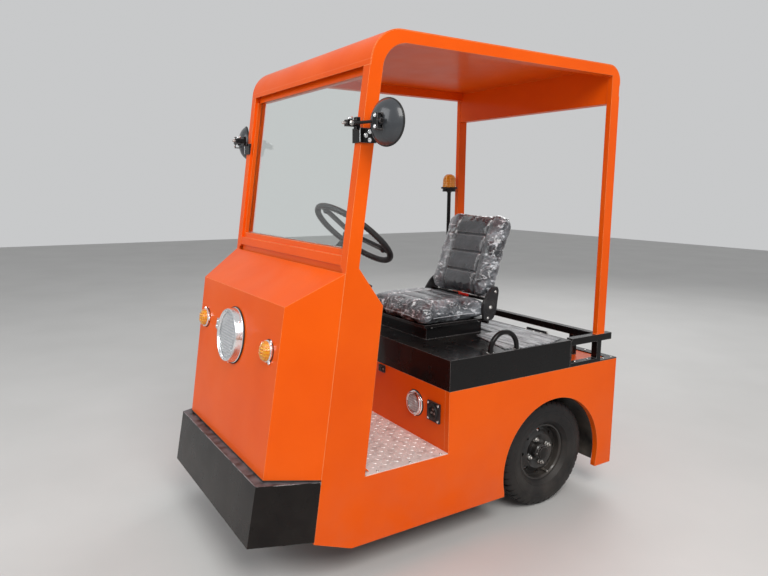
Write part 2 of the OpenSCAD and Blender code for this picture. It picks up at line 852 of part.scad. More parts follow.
// Narrow upright behind the lid that carries its hinge
module hinge_upstand() {
  color("#222222") {
    translate([-half_w, upstand_y, deck_z]) cube([body_w, upstand_t, hinge_z - hinge_r - deck_z - 1]);
    for (side = [-1, 1]) translate([side * hinge_x - 60, hinge_y, hinge_z]) {
      rotate([0, 90, 0]) cylinder(h = 120, r = hinge_r);
      translate([0, -3, -12]) cube([120, upstand_t - 1, 10]);
    }
  }
}

// Black liners inside the wheel arches
module arch_liners() {
  r = arch_r - 4;
  color("#1c1c1c") both_sides() {
    side_view(liner_x, panel_in) difference() {
      translate([arch_y, arch_z]) circle(r + sheet_t);
      translate([arch_y, arch_z]) circle(r);
      translate([arch_y - arch_r, arch_z - arch_r]) square([2 * arch_r, sill_z + 30 - arch_z + arch_r]);
    }
    side_view(liner_x - sheet_t, liner_x) difference() {
      translate([arch_y, arch_z]) circle(r + sheet_t);
      translate([arch_y - arch_r, arch_z - arch_r]) square([2 * arch_r, rear_r + 78 - arch_z + arch_r]);
    }
  }
}

// Axle tube with its differential and the two stub axles
module rear_axle() {
  back_x = tyre_in_x - 12;
  color("#2a2a2a") {
    translate([-back_x, rear_axle_y, rear_r]) rotate([0, 90, 0]) cylinder(h = 2 * back_x, r = axle_r);
    translate([-75, rear_axle_y, rear_r]) rotate([0, 90, 0]) cylinder(h = 150, r = diff_r);
    for (side = [-1, 1]) translate([side * frame_x - 32, rear_axle_y - 40, spring_z - 22]) cube([64, 80, 22]);
    both_sides() translate([back_x - 6, rear_axle_y, rear_r]) rotate([0, 90, 0]) {
      cylinder(h = 8, r = 92);
      cylinder(h = 100, r = rear_stub_r);
    }
  }
}

// Leaf spring packs between the axle and the long rails
module leaf_springs() {
  color("#1c1c1c") for (side = [-1, 1]) translate([side * frame_x - leaf_w / 2, rear_axle_y, 0]) {
    for (leaf = [0, 1, 2]) {
      len = leaf_len * (1 - leaf * 0.26);
      translate([0, -len / 2, spring_z + (2 - leaf) * leaf_t]) cube([leaf_w, len, leaf_t + 0.01]);
    }
    for (y = [-leaf_len / 2, leaf_len / 2 - 30]) translate([5, y, spring_z + 3 * leaf_t])
      cube([leaf_w - 10, 30, frame_low_z - spring_z - 3 * leaf_t]);
  }
}

// Drive motor, one plain barrel behind the axle
module drive_motor() {
  color("#303030") translate([0, rear_axle_y + diff_r + seat_gap, rear_r]) rotate([-90, 0, 0])
    cylinder(h = motor_len, r = motor_r);
}

// Column tube from under the steering wheel to the gearbox
module steering_column() {
  color("#202020") difference() {
    on_column(50 - column_len) cylinder(h = column_len - 50 - 34, r = column_r);
    on_column(-94) cylinder(h = 100, r = 10 + shaft_gap);
  }
}

// Angle drive on top of the steering pivot
module steering_gearbox() {
  color("#303030") difference() {
    union() {
      translate([-50, kingpin_y - 50, gearbox_z - 60]) cube([100, 100, 100]);
      translate([0, kingpin_y, cross_z + 90 + seat_gap])
        cylinder(h = gearbox_z - 60 - cross_z - 90, r = kingpin_r + 12);
    }
    on_column(50 - column_len) cylinder(h = 100, r = column_r);
    translate([0, kingpin_y, cross_z + 60]) cylinder(h = gearbox_z - cross_z - 130, r = kingpin_r + 1);
  }
}

// Instrument panel under the windscreen with a hood over the column
module dashboard() {
  hood_x = 95;
  color("#1e1e1e") difference() {
    union() {
      side_view(-panel_in, panel_in) polygon([
        [bulkhead_y, dash_z + seat_gap],
        [bulkhead_y + 84, dash_z + seat_gap],
        [bulkhead_y + 104, dash_z + 34],
        [bulkhead_y + 40, dash_z + dash_h],
        [bulkhead_y, dash_z + dash_h]
      ]);
      side_view(-hood_x, hood_x) polygon([
        [bulkhead_y + 50, dash_z + 30],
        [bulkhead_y + 120, dash_z + 10],
        [bulkhead_y + 190, dash_z + 60],
        [bulkhead_y + 120, dash_z + 128],
        [bulkhead_y + 60, dash_z + 100]
      ]);
    }
    on_column(-column_len) cylinder(h = column_len, r = column_r + 1);
  }
}

// Brake and drive pedals on the toe board
module pedals() {
  up = 0.42;
  color("#1c1c1c") for (pedal = [[-110, 70], [-210, 52]]) {
    x = pedal[0];
    w = pedal[1];
    translate([x, toe_y + 3 + up * (bulkhead_y - toe_y), floor_z + 1 + up * (toe_z - floor_z)])
      rotate([-toe_lean, 0, 0]) translate([0, 0, seat_gap]) {
        translate([-14, -18, 0]) cube([28, 36, 6]);
        translate([-6, -8, 5]) cube([12, 16, 40]);
        translate([-w / 2, -44, 44]) cube([w, 88, 9]);
      }
  }
}

mirror_x = half_w + mirror_out;
mirror_z = roof_z - mirror_drop;
mirror_y = front_y(mirror_z) - 4;
mirror_boss = 6;
arm_r = 5;

// Clamps on the front pillars with the mirrors' arms
module mirror_brackets() {
  clamp_z = mirror_z - 58;
  clamp_h = 46;
  fy = front_y(clamp_z + clamp_h / 2);
  back = mirror_boss + arm_r + seat_gap;
  reach = mirror_out / cos(mirror_toe) + 4;
  color("#1a1a1a") both_sides() {
    difference() {
      translate([pillar_in - 5, fy - 9, clamp_z]) cube([pillar_depth + 11, pillar_len + 12, clamp_h]);
      side_view(pillar_in - 10, half_w + seat_gap) polygon([
        [front_y(clamp_z - 5) - seat_gap, clamp_z - 5],
        [front_y(clamp_z + clamp_h + 5) - seat_gap, clamp_z + clamp_h + 5],
        [front_y(clamp_z + clamp_h + 5) + 80, clamp_z + clamp_h + 5],
        [front_y(clamp_z - 5) + 80, clamp_z - 5]
      ]);
    }
    translate([half_w - 14, fy - 22, clamp_z + clamp_h - 8]) cube([18, 14, 40]);
    translate([half_w - 14, fy - 56, mirror_z - 10]) cube([18, 40, 20]);
    translate([mirror_x + sin(mirror_toe) * back, mirror_y - cos(mirror_toe) * back, mirror_z])
      rotate([0, 90, mirror_toe]) translate([0, 0, -reach]) cylinder(h = reach + 8, r = arm_r);
  }
}

// Round mirror housings with domed backs
module mirror_heads() {
  color("#2a2d30") both_sides()
    translate([mirror_x, mirror_y, mirror_z]) rotate([-90, 0, mirror_toe])
      rotate_extrude() polygon([
        [0, -mirror_boss],
        [13, -mirror_boss],
        [13, 0],
        [20, 0],
        [mirror_r - 14, 12],
        [mirror_r - 2, 26],
        [mirror_r, 30],
        [mirror_r, 36],
        [mirror_r - 3, 36],
        [mirror_r - 3, 30],
        [0, 30]
      ]);
}

// Mirror panes
module mirror_glasses() {
  color("silver") both_sides()
    translate([mirror_x, mirror_y, mirror_z]) rotate([-90, 0, mirror_toe])
      translate([0, 0, 30 + seat_gap]) cylinder(h = 3, r = mirror_r - 3 - seat_gap);
}

beacon_x = -half_w + rail_w / 2 + 6;
beacon_y = rear_pillar_y - 59;
beacon_z = rail_z + beacon_pole_h;

// Upright tube on the right side rail with the beacon's foot
module beacon_pole() {
  color("#1a1a1a") translate([beacon_x, beacon_y, 0]) {
    translate([0, 0, rail_z]) cylinder(h = beacon_z - rail_z, r = 10);
    translate([0, 0, rail_z]) cylinder(h = 6, r = 14);
    translate([0, 0, beacon_z - 1]) cylinder(h = 16, r = beacon_r - 6);
  }
}

// Amber warning beacon
module beacon_dome() {
  color("orange", 0.8) translate([beacon_x, beacon_y, beacon_z + 15 + seat_gap])
    rotate_extrude() polygon([
      [0, 0],
      [beacon_r, 0],
      [beacon_r, 8],
      [beacon_r - 6, 10],
      [beacon_r - 8, beacon_h * 0.6],
      [beacon_r - 14, beacon_h * 0.84],
      [beacon_r - 26, beacon_h * 0.97],
      [0, beacon_h]
    ]);
}

// Small catch under the lid's front edge
module lid_latch() {
  color("#1a1a1a") {
    translate([18, riser_y - 8, deck_z - 34]) cube([44, 8 - seat_gap, 30]);
    translate([32, riser_y - 16, deck_z - 28]) cube([16, 10, 18]);
  }
}

// Deep lid over the batteries, open below and behind
module lid_box() {
  color("#1b1b1b") difference() {
    translate([-half_w, riser_y, lid_low_z]) cube([lid_w, lid_rear_y - riser_y, lid_z - lid_low_z]);
    translate([-half_w + wall_t, riser_y + wall_t, lid_low_z - 1])
      cube([lid_w - 2 * wall_t, lid_rear_y - riser_y, lid_z - lid_low_z - 3 + 1]);
  }
}

// Box under the seat
module seat_pedestal() {
  top_z = cushion_z - cushion_t - seat_gap;
  color("#1b1b1b") {
    translate([-seat_x + 24, cushion_front_y + 36, lid_z])
      cube([2 * seat_x - 48, cushion_rear_y - cushion_front_y - 44, top_z - lid_z - 12]);
    translate([-seat_x + 8, cushion_front_y + 16, top_z - 12.01])
      cube([2 * seat_x - 16, cushion_rear_y - cushion_front_y - 10, 12.01]);
  }
}

// Seat cushion, plain form
module seat_cushion() {
  r = 26;
  color("#35383c") side_view(-seat_x, seat_x) hull() {
    for (corner = [
      [cushion_front_y + r, cushion_z - r - 6],
      [cushion_front_y + r, cushion_z - cushion_t + r],
      [cushion_rear_y - r, cushion_z - cushion_t + r],
      [cushion_rear_y - r, cushion_z - r]
    ]) translate(corner) circle(r, $fn = 32);
  }
}

// Places children in the backrest's lean, +Z along it, zero at its lower front edge
module on_back() {
  translate([0, back_low_y, back_low_z]) rotate([-back_lean, 0, 0]) children();
}

// Backrest, plain form with rounded top corners
module seat_back() {
  r = 60;
  color("#35383c") on_back() rotate([90, 0, 0]) translate([0, 0, -back_t]) linear_extrude(back_t) hull() {
    translate([-back_x + 14, 0]) square([2 * back_x - 28, 20]);
    for (side = [-1, 1]) {
      translate([side * (back_x - 30), 60]) circle(30, $fn = 32);
      translate([side * (back_x - r - 14), back_len - r]) circle(r, $fn = 32);
    }
  }
}

// Side covers over the backrest's hinges
module seat_recliners() {
  y = cushion_rear_y + 6;
  z = cushion_z - 34;
  color("#2b2e31") both_sides() side_view(seat_x + 1, seat_x + 15) {
    translate([y, z]) circle(40);
    polygon([[y - 30, z + 26], [y + 10, z + 90], [y + 54, z + 90], [y + 36, z - 18]]);
    polygon([[y - 36, z + 18], [y + 36, z + 18], [y + 20, z - 62], [y - 30, z - 62]]);
  }
  color("#2b2e31") translate([-seat_x - 2, cushion_rear_y + 6 + seat_gap, cushion_z - cushion_t - 26])
    cube([2 * seat_x + 4, 8, 24]);
  color("#2b2e31") translate([-seat_x - 2, cushion_rear_y + 12, back_low_z - 28])
    cube([2 * seat_x + 4, 8, 28 - (42 - seat_gap) * tan(back_lean) - seat_gap]);
}

// Outline of the mat from above, which runs round the seat's box and the grab handles
module mat_outline() {
  in_x = seat_x + 22;
  leg_x = half_w - 2 * handle_r - 3;
  leg_y = handle_y + handle_span + 5;
  rear_y = lid_rear_y - mat_rear_gap;
  side = [
    [in_x, cushion_rear_y + 26],
    [in_x, mat_in_y],
    [leg_x, mat_out_y],
    [leg_x, leg_y],
    [half_w - 4, leg_y + 3],
    [half_w - 4, rear_y - 84],
    [half_w - 32, rear_y]
  ];
  polygon([each side, for (i = [len(side) - 1 : -1 : 0]) [-side[i][0], side[i][1]]]);
}

// Ribbed mat on the lid, beside and behind the seat
module deck_mat() {
  rib = 16;
  color("darkgray") translate([0, 0, lid_z + seat_gap]) {
    linear_extrude(2) mat_outline();
    linear_extrude(4) intersection() {
      mat_outline();
      for (y = [mat_out_y : rib : lid_rear_y - mat_rear_gap]) translate([-half_w, y])
        square([body_w, rib / 2]);
    }
  }
}

// Tubular grab handles at the lid's sides
module grab_handles() {
  r = handle_span - handle_r;
  leg = handle_h - handle_span;
  color("#151515") both_sides() translate([half_w - handle_r, handle_y, lid_z]) {
    for (side = [-1, 1]) translate([0, side * r, 0]) cylinder(h = leg, r = handle_r);
    translate([0, 0, leg]) rotate([0, 90, 0]) rotate([0, 0, 90]) rotate_extrude(angle = 180)
      translate([r, 0]) circle(handle_r);
  }
}

// Steering wheel: rim, three spokes and hub with its short shaft
module steering_wheel() {
  color("#1a1a1a") on_column(0) {
    rotate_extrude() translate([steer_r, 0]) circle(steer_rim_r);
    for (a = [30, 150, 270]) rotate([0, 0, a]) translate([24, -14, -12])
      cube([steer_r - 30, 28, 10]);
    translate([0, 0, -30]) cylinder(h = 34, r = 34);
    translate([0, 0, -92]) cylinder(h = 66, r = 10);
  }
}

// Fork with its pivot shaft, crown, arms and axle
module front_fork() {
  arm_x = front_tyre_w / 2 + 12;
  arm_t = 12;
  color("#2a2a2a") {
    translate([0, kingpin_y, crown_low_z + crown_t - 1])
      cylinder(h = gearbox_z - 79 - crown_low_z - crown_t, r = kingpin_r);
    translate([0, kingpin_y, crown_low_z + crown_t - 1]) cylinder(h = 8, r = kingpin_r + 12);
    translate([-arm_x - arm_t, kingpin_y - 46, crown_low_z])
      cube([2 * (arm_x + arm_t), 92, crown_t]);
    both_sides() side_view(arm_x, arm_x + arm_t) {
      polygon([
        [kingpin_y - 44, crown_low_z + 1],
        [kingpin_y + 44, crown_low_z + 1],
        [front_axle_y + 26, front_r],
        [front_axle_y - 26, front_r]
      ]);
      translate([front_axle_y, front_r]) circle(26);
    }
    translate([-arm_x - arm_t - 10, front_axle_y, front_r]) rotate([0, 90, 0])
      cylinder(h = 2 * (arm_x + arm_t + 10), r = front_axle_r);
  }
}

// Tyre section turned about X, with rounded shoulders and a hollow for the rim
module tyre(r, w, bead_r, x) {
  flat = w * 0.34;
  color("#141414") translate([x, 0, 0]) rotate([0, 90, 0]) rotate_extrude() polygon([
    [bead_r, -w * 0.30],
    [bead_r + 8, -w * 0.37],
    [(bead_r + r) / 2, -w / 2],
    [(bead_r + 2 * r) / 3 + 6, -w * 0.49],
    [r - 9, -w * 0.43],
    [r, -flat],
    [r, flat],
    [r - 9, w * 0.43],
    [(bead_r + 2 * r) / 3 + 6, w * 0.49],
    [(bead_r + r) / 2, w / 2],
    [bead_r + 8, w * 0.37],
    [bead_r, w * 0.30]
  ]);
}

module front_tyre() {
  translate([0, front_axle_y, front_r]) tyre(front_r, front_tyre_w, front_rim_r - 8, 0);
}

// Front rim with its hub, turned about X
module front_rim() {
  hub_x = front_tyre_w / 2 + 6;
  bead = front_rim_r - 8 - seat_gap;
  w = front_tyre_w * 0.30;
  color("#1c1c1c") translate([0, front_axle_y, front_r]) rotate([0, 90, 0]) rotate_extrude() polygon([
    [front_axle_r + shaft_gap, -hub_x],
    [34, -hub_x],
    [34, -8],
    [bead - 12, -8],
    [bead - 12, -w],
    [bead, -w],
    [bead, w],
    [bead - 12, w],
    [bead - 12, 8],
    [34, 8],
    [34, hub_x],
    [front_axle_r + shaft_gap, hub_x]
  ]);
}

module rear_tyre() {
  translate([wheel_x, rear_axle_y, rear_r]) tyre(rear_r, rear_tyre_w, rim_r - 10, 0);
}

// Rear rim with its dished disc, hand holes and hub
module rear_rim() {
  bead = rim_r - 10 - seat_gap;
  w = rear_tyre_w * 0.30;
  color("#1c1c1c") translate([wheel_x, rear_axle_y, rear_r]) rotate([0, 90, 0]) difference() {
    rotate_extrude() polygon([
      [rear_stub_r + shaft_gap, -rear_tyre_w / 2 + 2],
      [48, -rear_tyre_w / 2 + 2],
      [48, 6],
      [76, 22],
      [bead - 30, 10],
      [bead - 12, 4],
      [bead - 12, -w],
      [bead, -w],
      [bead, w],
      [bead - 6, w],
      [bead - 10, w - 6],
      [bead - 14, 12],
      [bead - 30, 18],
      [76, 30],
      [50, 16],
      [36, 16],
      [36, 40],
      [30, 46],
      [rear_stub_r + shaft_gap, 46]
    ]);
    for (a = [0 : 45 : 315]) rotate([0, 0, a]) translate([bead - 28, 0, -20]) cylinder(h = 60, r = 9);
  }
}

module rear_tyre_left() {
  rear_tyre();
}

module rear_tyre_right() {
  mirror([1, 0, 0]) rear_tyre();
}

module rear_rim_left() {
  rear_rim();
}

module rear_rim_right() {
  mirror([1, 0, 0]) rear_rim();
}

side_panel_left();
side_panel_right();
roof_skin();
roof_headers();
windscreen_frame();
windscreen_glass();
nose_shell();
bumper();
lamp_rings();
headlamp_lens();
indicator_lenses();
floor_plate();
bulkhead();
seat_riser();
riser_lamp_lens();
charge_socket();
chassis_frame();
battery_pack();
rear_deck();
rear_panel();
tail_lamps();
tow_hitch();
rear_rails();
arch_liners();
rear_axle();
leaf_springs();
drive_motor();
steering_column();
steering_gearbox();
dashboard();
pedals();
mirror_brackets();
mirror_heads();
mirror_glasses();
beacon_pole();
beacon_dome();
lid_latch();
lid_box();
seat_pedestal();
seat_cushion();
seat_back();
seat_recliners();
deck_mat();
grab_handles();
steering_wheel();
front_fork();
front_tyre();
front_rim();
rear_tyre_left();
rear_rim_left();
rear_tyre_right();
rear_rim_right();
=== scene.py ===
"""Looks of an open-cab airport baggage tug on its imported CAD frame.

Added pieces are measured in millimetres. The camera, looks, seat pads and stage are in metres.
"""
import itertools
import json
import math

import bmesh
import bpy
from mathutils import Matrix, Vector, noise
from mathutils.bvhtree import BVHTree


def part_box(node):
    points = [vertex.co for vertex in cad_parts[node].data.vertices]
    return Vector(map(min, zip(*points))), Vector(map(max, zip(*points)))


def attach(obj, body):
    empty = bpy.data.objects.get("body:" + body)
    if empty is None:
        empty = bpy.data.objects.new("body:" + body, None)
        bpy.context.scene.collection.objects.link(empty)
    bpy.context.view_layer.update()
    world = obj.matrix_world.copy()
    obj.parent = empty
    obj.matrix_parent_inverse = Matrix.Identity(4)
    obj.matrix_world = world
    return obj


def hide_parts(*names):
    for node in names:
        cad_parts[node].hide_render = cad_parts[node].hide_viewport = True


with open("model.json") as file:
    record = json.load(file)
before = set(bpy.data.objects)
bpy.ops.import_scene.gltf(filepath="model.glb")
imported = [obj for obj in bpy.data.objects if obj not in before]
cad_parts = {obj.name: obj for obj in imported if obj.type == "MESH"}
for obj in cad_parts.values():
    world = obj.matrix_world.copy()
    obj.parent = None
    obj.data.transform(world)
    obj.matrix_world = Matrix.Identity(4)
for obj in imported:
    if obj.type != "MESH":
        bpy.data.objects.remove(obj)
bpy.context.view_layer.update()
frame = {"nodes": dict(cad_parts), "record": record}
nodes = frame["nodes"]
SIDES = (-1, 1)

# Camera, at the photograph's place and angle
CAMERA_AT = Vector((2.281, -1.576, 1.356))
CAMERA_YAW, CAMERA_PITCH, CAMERA_ROLL = (math.radians(a) for a in (57.19, 8.87, 0.53))
CAMERA_LENS, CAMERA_SENSOR = 29.96, 36.0


def link(name, data):
    """A new object in the scene that shows the data."""
    made = bpy.data.objects.new(name, data)
    bpy.context.scene.collection.objects.link(made)
    return made


def place_camera():
    """Makes the scene's camera from its yaw, its pitch down and its small roll."""
    flat = math.cos(CAMERA_PITCH)
    forward = Vector((-math.sin(CAMERA_YAW) * flat, math.cos(CAMERA_YAW) * flat, -math.sin(CAMERA_PITCH)))
    level = Vector((math.cos(CAMERA_YAW), math.sin(CAMERA_YAW), 0))
    right = math.cos(CAMERA_ROLL) * level + math.sin(CAMERA_ROLL) * level.cross(forward)
    data = bpy.data.cameras.new("camera")
    data.lens, data.sensor_width = CAMERA_LENS, CAMERA_SENSOR
    camera = link("camera", data)
    turn = Matrix((right, right.cross(forward), -forward)).transposed()
    camera.matrix_world = Matrix.Translation(CAMERA_AT) @ turn.to_4x4()
    bpy.context.scene.camera = camera


place_camera()


# Looks: a short way to write node trees
class Look:
    """One procedural material. Its patterns lie in the object's own coordinates, in metres."""

    def __init__(self, name, colour, roughness, **sockets):
        self.mat = bpy.data.materials.new(name)
        self.mat.use_nodes = True
        self.tree = self.mat.node_tree
        self.tree.nodes.clear()
        plain = {socket.replace("_", " "): value for socket, value in sockets.items()}
        self.shader = self.node("ShaderNodeBsdfPrincipled", plain)
        self.node("ShaderNodeOutputMaterial", {"Surface": self.shader.outputs[0]})
        self.place = self.node("ShaderNodeTexCoord").outputs["Object"]
        self.colour, self.roughness, self.normal = (*colour, 1), roughness, None

    def node(self, kind, inputs=None, **settings):
        """A new node, its inputs given as outputs to link or as plain values."""
        made = self.tree.nodes.new(kind)
        for key, value in settings.items():
            setattr(made, key, value)
        for key, value in (inputs or {}).items():
            self.join(value, made.inputs[key])
        return made

    def join(self, value, socket):
        """Links an output to a socket, or writes a plain value into it."""
        if isinstance(value, bpy.types.NodeSocket):
            self.tree.links.new(value, socket)
        else:
            socket.default_value = value

    def noise(self, scale, detail=3.0, stretch=None, rough=0.5):
        place = self.place
        if stretch:
            place = self.node("ShaderNodeMapping", {"Vector": place, "Scale": stretch}).outputs[0]
        inputs = {"Vector": place, "Scale": scale, "Detail": detail, "Roughness": rough}
        return self.node("ShaderNodeTexNoise", inputs).outputs["Fac"]

    def cells(self, scale):
        return self.node("ShaderNodeTexVoronoi", {"Vector": self.place, "Scale": scale}).outputs["Distance"]

    def ribs(self, scale):
        """Bands along Z."""
        inputs = {"Vector": self.place, "Scale": scale}
        return self.node("ShaderNodeTexWave", inputs, bands_direction="Z").outputs["Fac"]

    def window(self, value, low, high):
        """0 at low, 1 at high, held beyond both."""
        inputs = {"Value": value, "From Min": low, "From Max": high}
        return self.node("ShaderNodeMapRange", inputs).outputs[0]

    def patches(self, scale, detail, low, high, stretch=None, rough=0.5):
        """Spots of noise: 0 where it is below low, 1 where it is above high."""
        return self.window(self.noise(scale, detail, stretch, rough), low, high)

    def math(self, how, a, b=0.0):
        return self.node("ShaderNodeMath", {0: a, 1: b}, operation=how).outputs[0]

    def times(self, first, *others):
        for other in others:
            first = self.math("MULTIPLY", first, other)
        return first

    def part(self, vector, axis):
        return self.node("ShaderNodeSeparateXYZ", {0: vector}).outputs[axis]

    def along(self, axis):
        return self.part(self.place, axis)

    def geometry(self, output):
        return self.node("ShaderNodeNewGeometry").outputs[output]

    def facing_up(self, low, high):
        return self.window(self.part(self.geometry("Normal"), "Z"), low, high)

    def edges(self, radius):
        """1 along folds and cut edges: where a rounded normal leaves the face's own."""
        rounded = self.node("ShaderNodeBevel", {"Radius": radius}, samples=4).outputs[0]
        inputs = {0: rounded, 1: self.geometry("Normal")}
        near = self.node("ShaderNodeVectorMath", inputs, operation="DOT_PRODUCT").outputs["Value"]
        return self.window(self.math("SUBTRACT", 1.0, near), 0.02, 0.12)

    def tint(self, mask, colour):
        """Paints a colour over the one so far where the mask is 1."""
        self.colour = self.mixed("RGBA", {"Factor": mask, "A": self.colour, "B": (*colour, 1)})
        return self

    def rough(self, mask, value):
        self.roughness = self.mixed("FLOAT", {"Factor": mask, "A": self.roughness, "B": value})
        return self

    def mixed(self, kind, inputs):
        return self.node("ShaderNodeMix", inputs, data_type=kind).outputs["Result"]

    def bump(self, height, depth, strength=1.0):
        inputs = {"Height": height, "Distance": depth, "Strength": strength}
        if self.normal:
            inputs["Normal"] = self.normal
        self.normal = self.node("ShaderNodeBump", inputs).outputs[0]
        return self

    def fold(self, radius):
        """Rounds the shading of the edges, as a folded or cast edge is."""
        self.normal = self.node("ShaderNodeBevel", {"Radius": radius}, samples=4).outputs[0]
        return self

    def dust(self, amount, top=0.5):
        """Fine dust: more of it near the ground and on faces that look up."""
        low = self.times(self.window(self.along("Z"), top, 0.05), self.patches(7, 5, 0.35, 0.75))
        lying = self.times(self.facing_up(0.7, 1.0), self.patches(11, 5, 0.45, 0.8))
        mask = self.times(self.math("MAXIMUM", low, self.times(lying, 0.5)), amount)
        return self.tint(mask, DUST).rough(mask, 0.85)

    def done(self):
        self.join(self.colour, self.shader.inputs["Base Color"])
        self.join(self.roughness, self.shader.inputs["Roughness"])
        if self.normal:
            self.join(self.normal, self.shader.inputs["Normal"])
            self.join(self.normal, self.shader.inputs["Coat Normal"])
        return self.mat


DUST = (0.34, 0.29, 0.24)


def enamel(name, colour, dark, roughness, peel, dusty, coat=0.35, shine=0.3, edge=None, scuffs=None):
    """Sprayed enamel on folded sheet: orange peel, a slightly wavy sheet, hairline scratches, and, where an
    edge colour is given, a painted highlight along its edges.
    """
    gloss = {"Coat_Weight": coat, "Coat_Roughness": 0.05, "Specular_IOR_Level": shine}
    look = Look(name, colour, roughness, **gloss).fold(0.0022)
    look.bump(look.noise(2.2, 1), 0.004, 0.4).bump(look.noise(260, 2), 0.00012, peel)
    look.tint(look.patches(3.1, 4, 0.35, 0.8), dark)
    look.tint(look.times(look.patches(60, 4, 0.62, 0.7), 0.15), dark)
    look.rough(look.patches(9, 5, 0.4, 0.9), roughness + 0.12)
    scratches = look.patches(45, 6, 0.72, 0.77, (1, 1, 7), 0.7)
    look.rough(scratches, 0.6).tint(look.times(scratches, 0.3), tuple(c * 0.7 + 0.1 for c in colour))
    if edge and scuffs:
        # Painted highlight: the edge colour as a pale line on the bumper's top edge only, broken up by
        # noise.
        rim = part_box("bumper")[1][2]
        wear_and_highlight = look.times(look.edges(0.0046), look.patches(22, 6, 0.38, 0.54), 0.90)
        look.tint(look.times(wear_and_highlight, look.window(look.along("Z"), rim - 0.012, rim - 0.006)), edge)
        trodden = look.times(look.facing_up(0.75, 0.95), look.patches(26, 6, 0.30, 0.60), 0.85)
        look.tint(trodden, scuffs).rough(trodden, 0.5)
    elif edge:
        # Painted highlight: the edge colour laid along folds and cut edges, broken up by noise.
        look.tint(look.times(look.edges(0.0024), look.patches(10, 6, 0.22, 0.46), 0.80), edge)
    return look.dust(dusty).done()


def metal(name, colour, roughness, wear_and_highlight, dusty, top=0.4, metallic=1.0):
    """Plated or bare metal with brushed roughness and stains."""
    look = Look(name, colour, roughness, Metallic=metallic).fold(0.0006)
    look.rough(look.patches(60, 5, 0.45, 0.8, (1, 3, 1)), roughness + 0.22)
    look.tint(look.patches(24, 6, 0.5, 0.8), wear_and_highlight).bump(look.noise(90, 3), 0.0003, 0.3)
    return look.dust(dusty, top).done()


def dull(name, colour, light, roughness, grain, depth, dusty, top=0.6):
    """Plastic, rubber or chassis paint: fine grain, uneven tone and dust."""
    look = Look(name, colour, roughness, Specular_IOR_Level=0.3).fold(0.0012)
    look.bump(look.noise(grain, 4), depth, 0.6).tint(look.patches(18, 6, 0.5, 0.8), light)
    look.rough(look.patches(34, 4, 0.5, 0.8), min(roughness + 0.18, 0.95))
    return look.dust(dusty, top).done()


def lens(name, colour, deep, ribs, milky):
    """A moulded lamp lens: ribs inside it, and scuffs that make it milky."""
    glass = {"Transmission_Weight": milky, "IOR": 1.46, "Coat_Weight": 0.5, "Coat_Roughness": 0.03}
    look = Look(name, colour, 0.04, **glass)
    look.tint(look.window(look.ribs(ribs), 0.2, 0.9), deep).bump(look.ribs(ribs), 0.0012, 0.5)
    return look.rough(look.patches(50, 4, 0.55, 0.8), 0.16).done()


def clear_glass(name):
    look = Look(name, (0.93, 0.97, 0.95), 0.0, Transmission_Weight=1.0, IOR=1.45)
    smear = look.patches(5, 6, 0.55, 0.85, (1, 1, 2.5))
    return look.bump(look.noise(1.6, 1), 0.0006, 0.3).rough(look.times(smear, 0.5), 0.10).done()


def mirror_glass(name):
    look = Look(name, (0.90, 0.92, 0.93), 0.02, Metallic=1.0)
    return look.bump(look.noise(3, 1), 0.0004, 0.2).rough(look.patches(30, 5, 0.6, 0.9), 0.12).done()


def cushion_vinyl(name):
    """Black vinyl under a crumpled clear film: milky at the pads' sides and front, partly painted sheen,
    with painted highlights as glints and along the crease ridges.
    """
    look = Look(name, (0.018, 0.020, 0.025), 0.34, Coat_Weight=0.9, Coat_Roughness=0.03)
    look.bump(look.noise(38, 5, None, 0.6), 0.0035, 0.35).bump(look.cells(420), 0.0003, 0.3)
    look.tint(look.patches(8, 5, 0.4, 0.8), (0.030, 0.034, 0.042))
    sides = look.window(look.math("ABSOLUTE", look.along("X")), 0.095, 0.150)
    loose = look.math("MAXIMUM", sides, look.window(look.along("Y"), 0.14, -0.01))
    # A milky veil over the film, strongest at the sides and front: partly the film's own haze, partly
    # painted sheen.
    film = look.times(look.math("MAXIMUM", loose, 0.12), look.patches(8, 5, 0.42, 0.62, (1, 1, 1.6), 0.55))
    look.tint(look.times(film, 0.55), (0.42, 0.45, 0.49))
    # Painted highlights: small pale glints on the film at the sides and front.
    painted_glints = look.patches(24, 6, 0.56, 0.63, (1, 1, 2.4), 0.6)
    look.tint(look.times(painted_glints, loose, 0.75), (0.80, 0.83, 0.88))
    # Painted highlights along the crease ridges, which pointiness finds.
    crease_highlights = look.window(look.geometry("Pointiness"), 0.510, 0.580)
    look.tint(look.times(crease_highlights, 0.55), (0.70, 0.73, 0.77))
    return look.rough(look.patches(14, 5, 0.45, 0.8), 0.2).done()


def ribbed_mat(name):
    """Dark rubber with pale streaks along its ribs, which are painted reflections, and some dust."""
    look = Look(name, (0.10, 0.105, 0.112), 0.30, Coat_Weight=0.7, Coat_Roughness=0.08)
    # Painted reflections: pale streaks along the ribs, with finer and paler ones over them.
    reflection_streaks = look.patches(8, 7, 0.40, 0.64, (0.7, 7, 1), 0.68)
    fine = look.patches(16, 6, 0.50, 0.66, (0.5, 8, 1), 0.6)
    look.bump(reflection_streaks, 0.0016, 0.7).tint(look.times(reflection_streaks, 0.85), (0.56, 0.58, 0.61))
    look.tint(look.times(fine, 0.5), (0.74, 0.76, 0.79)).rough(look.patches(20, 4, 0.4, 0.7), 0.5)
    return look.dust(0.25).done()
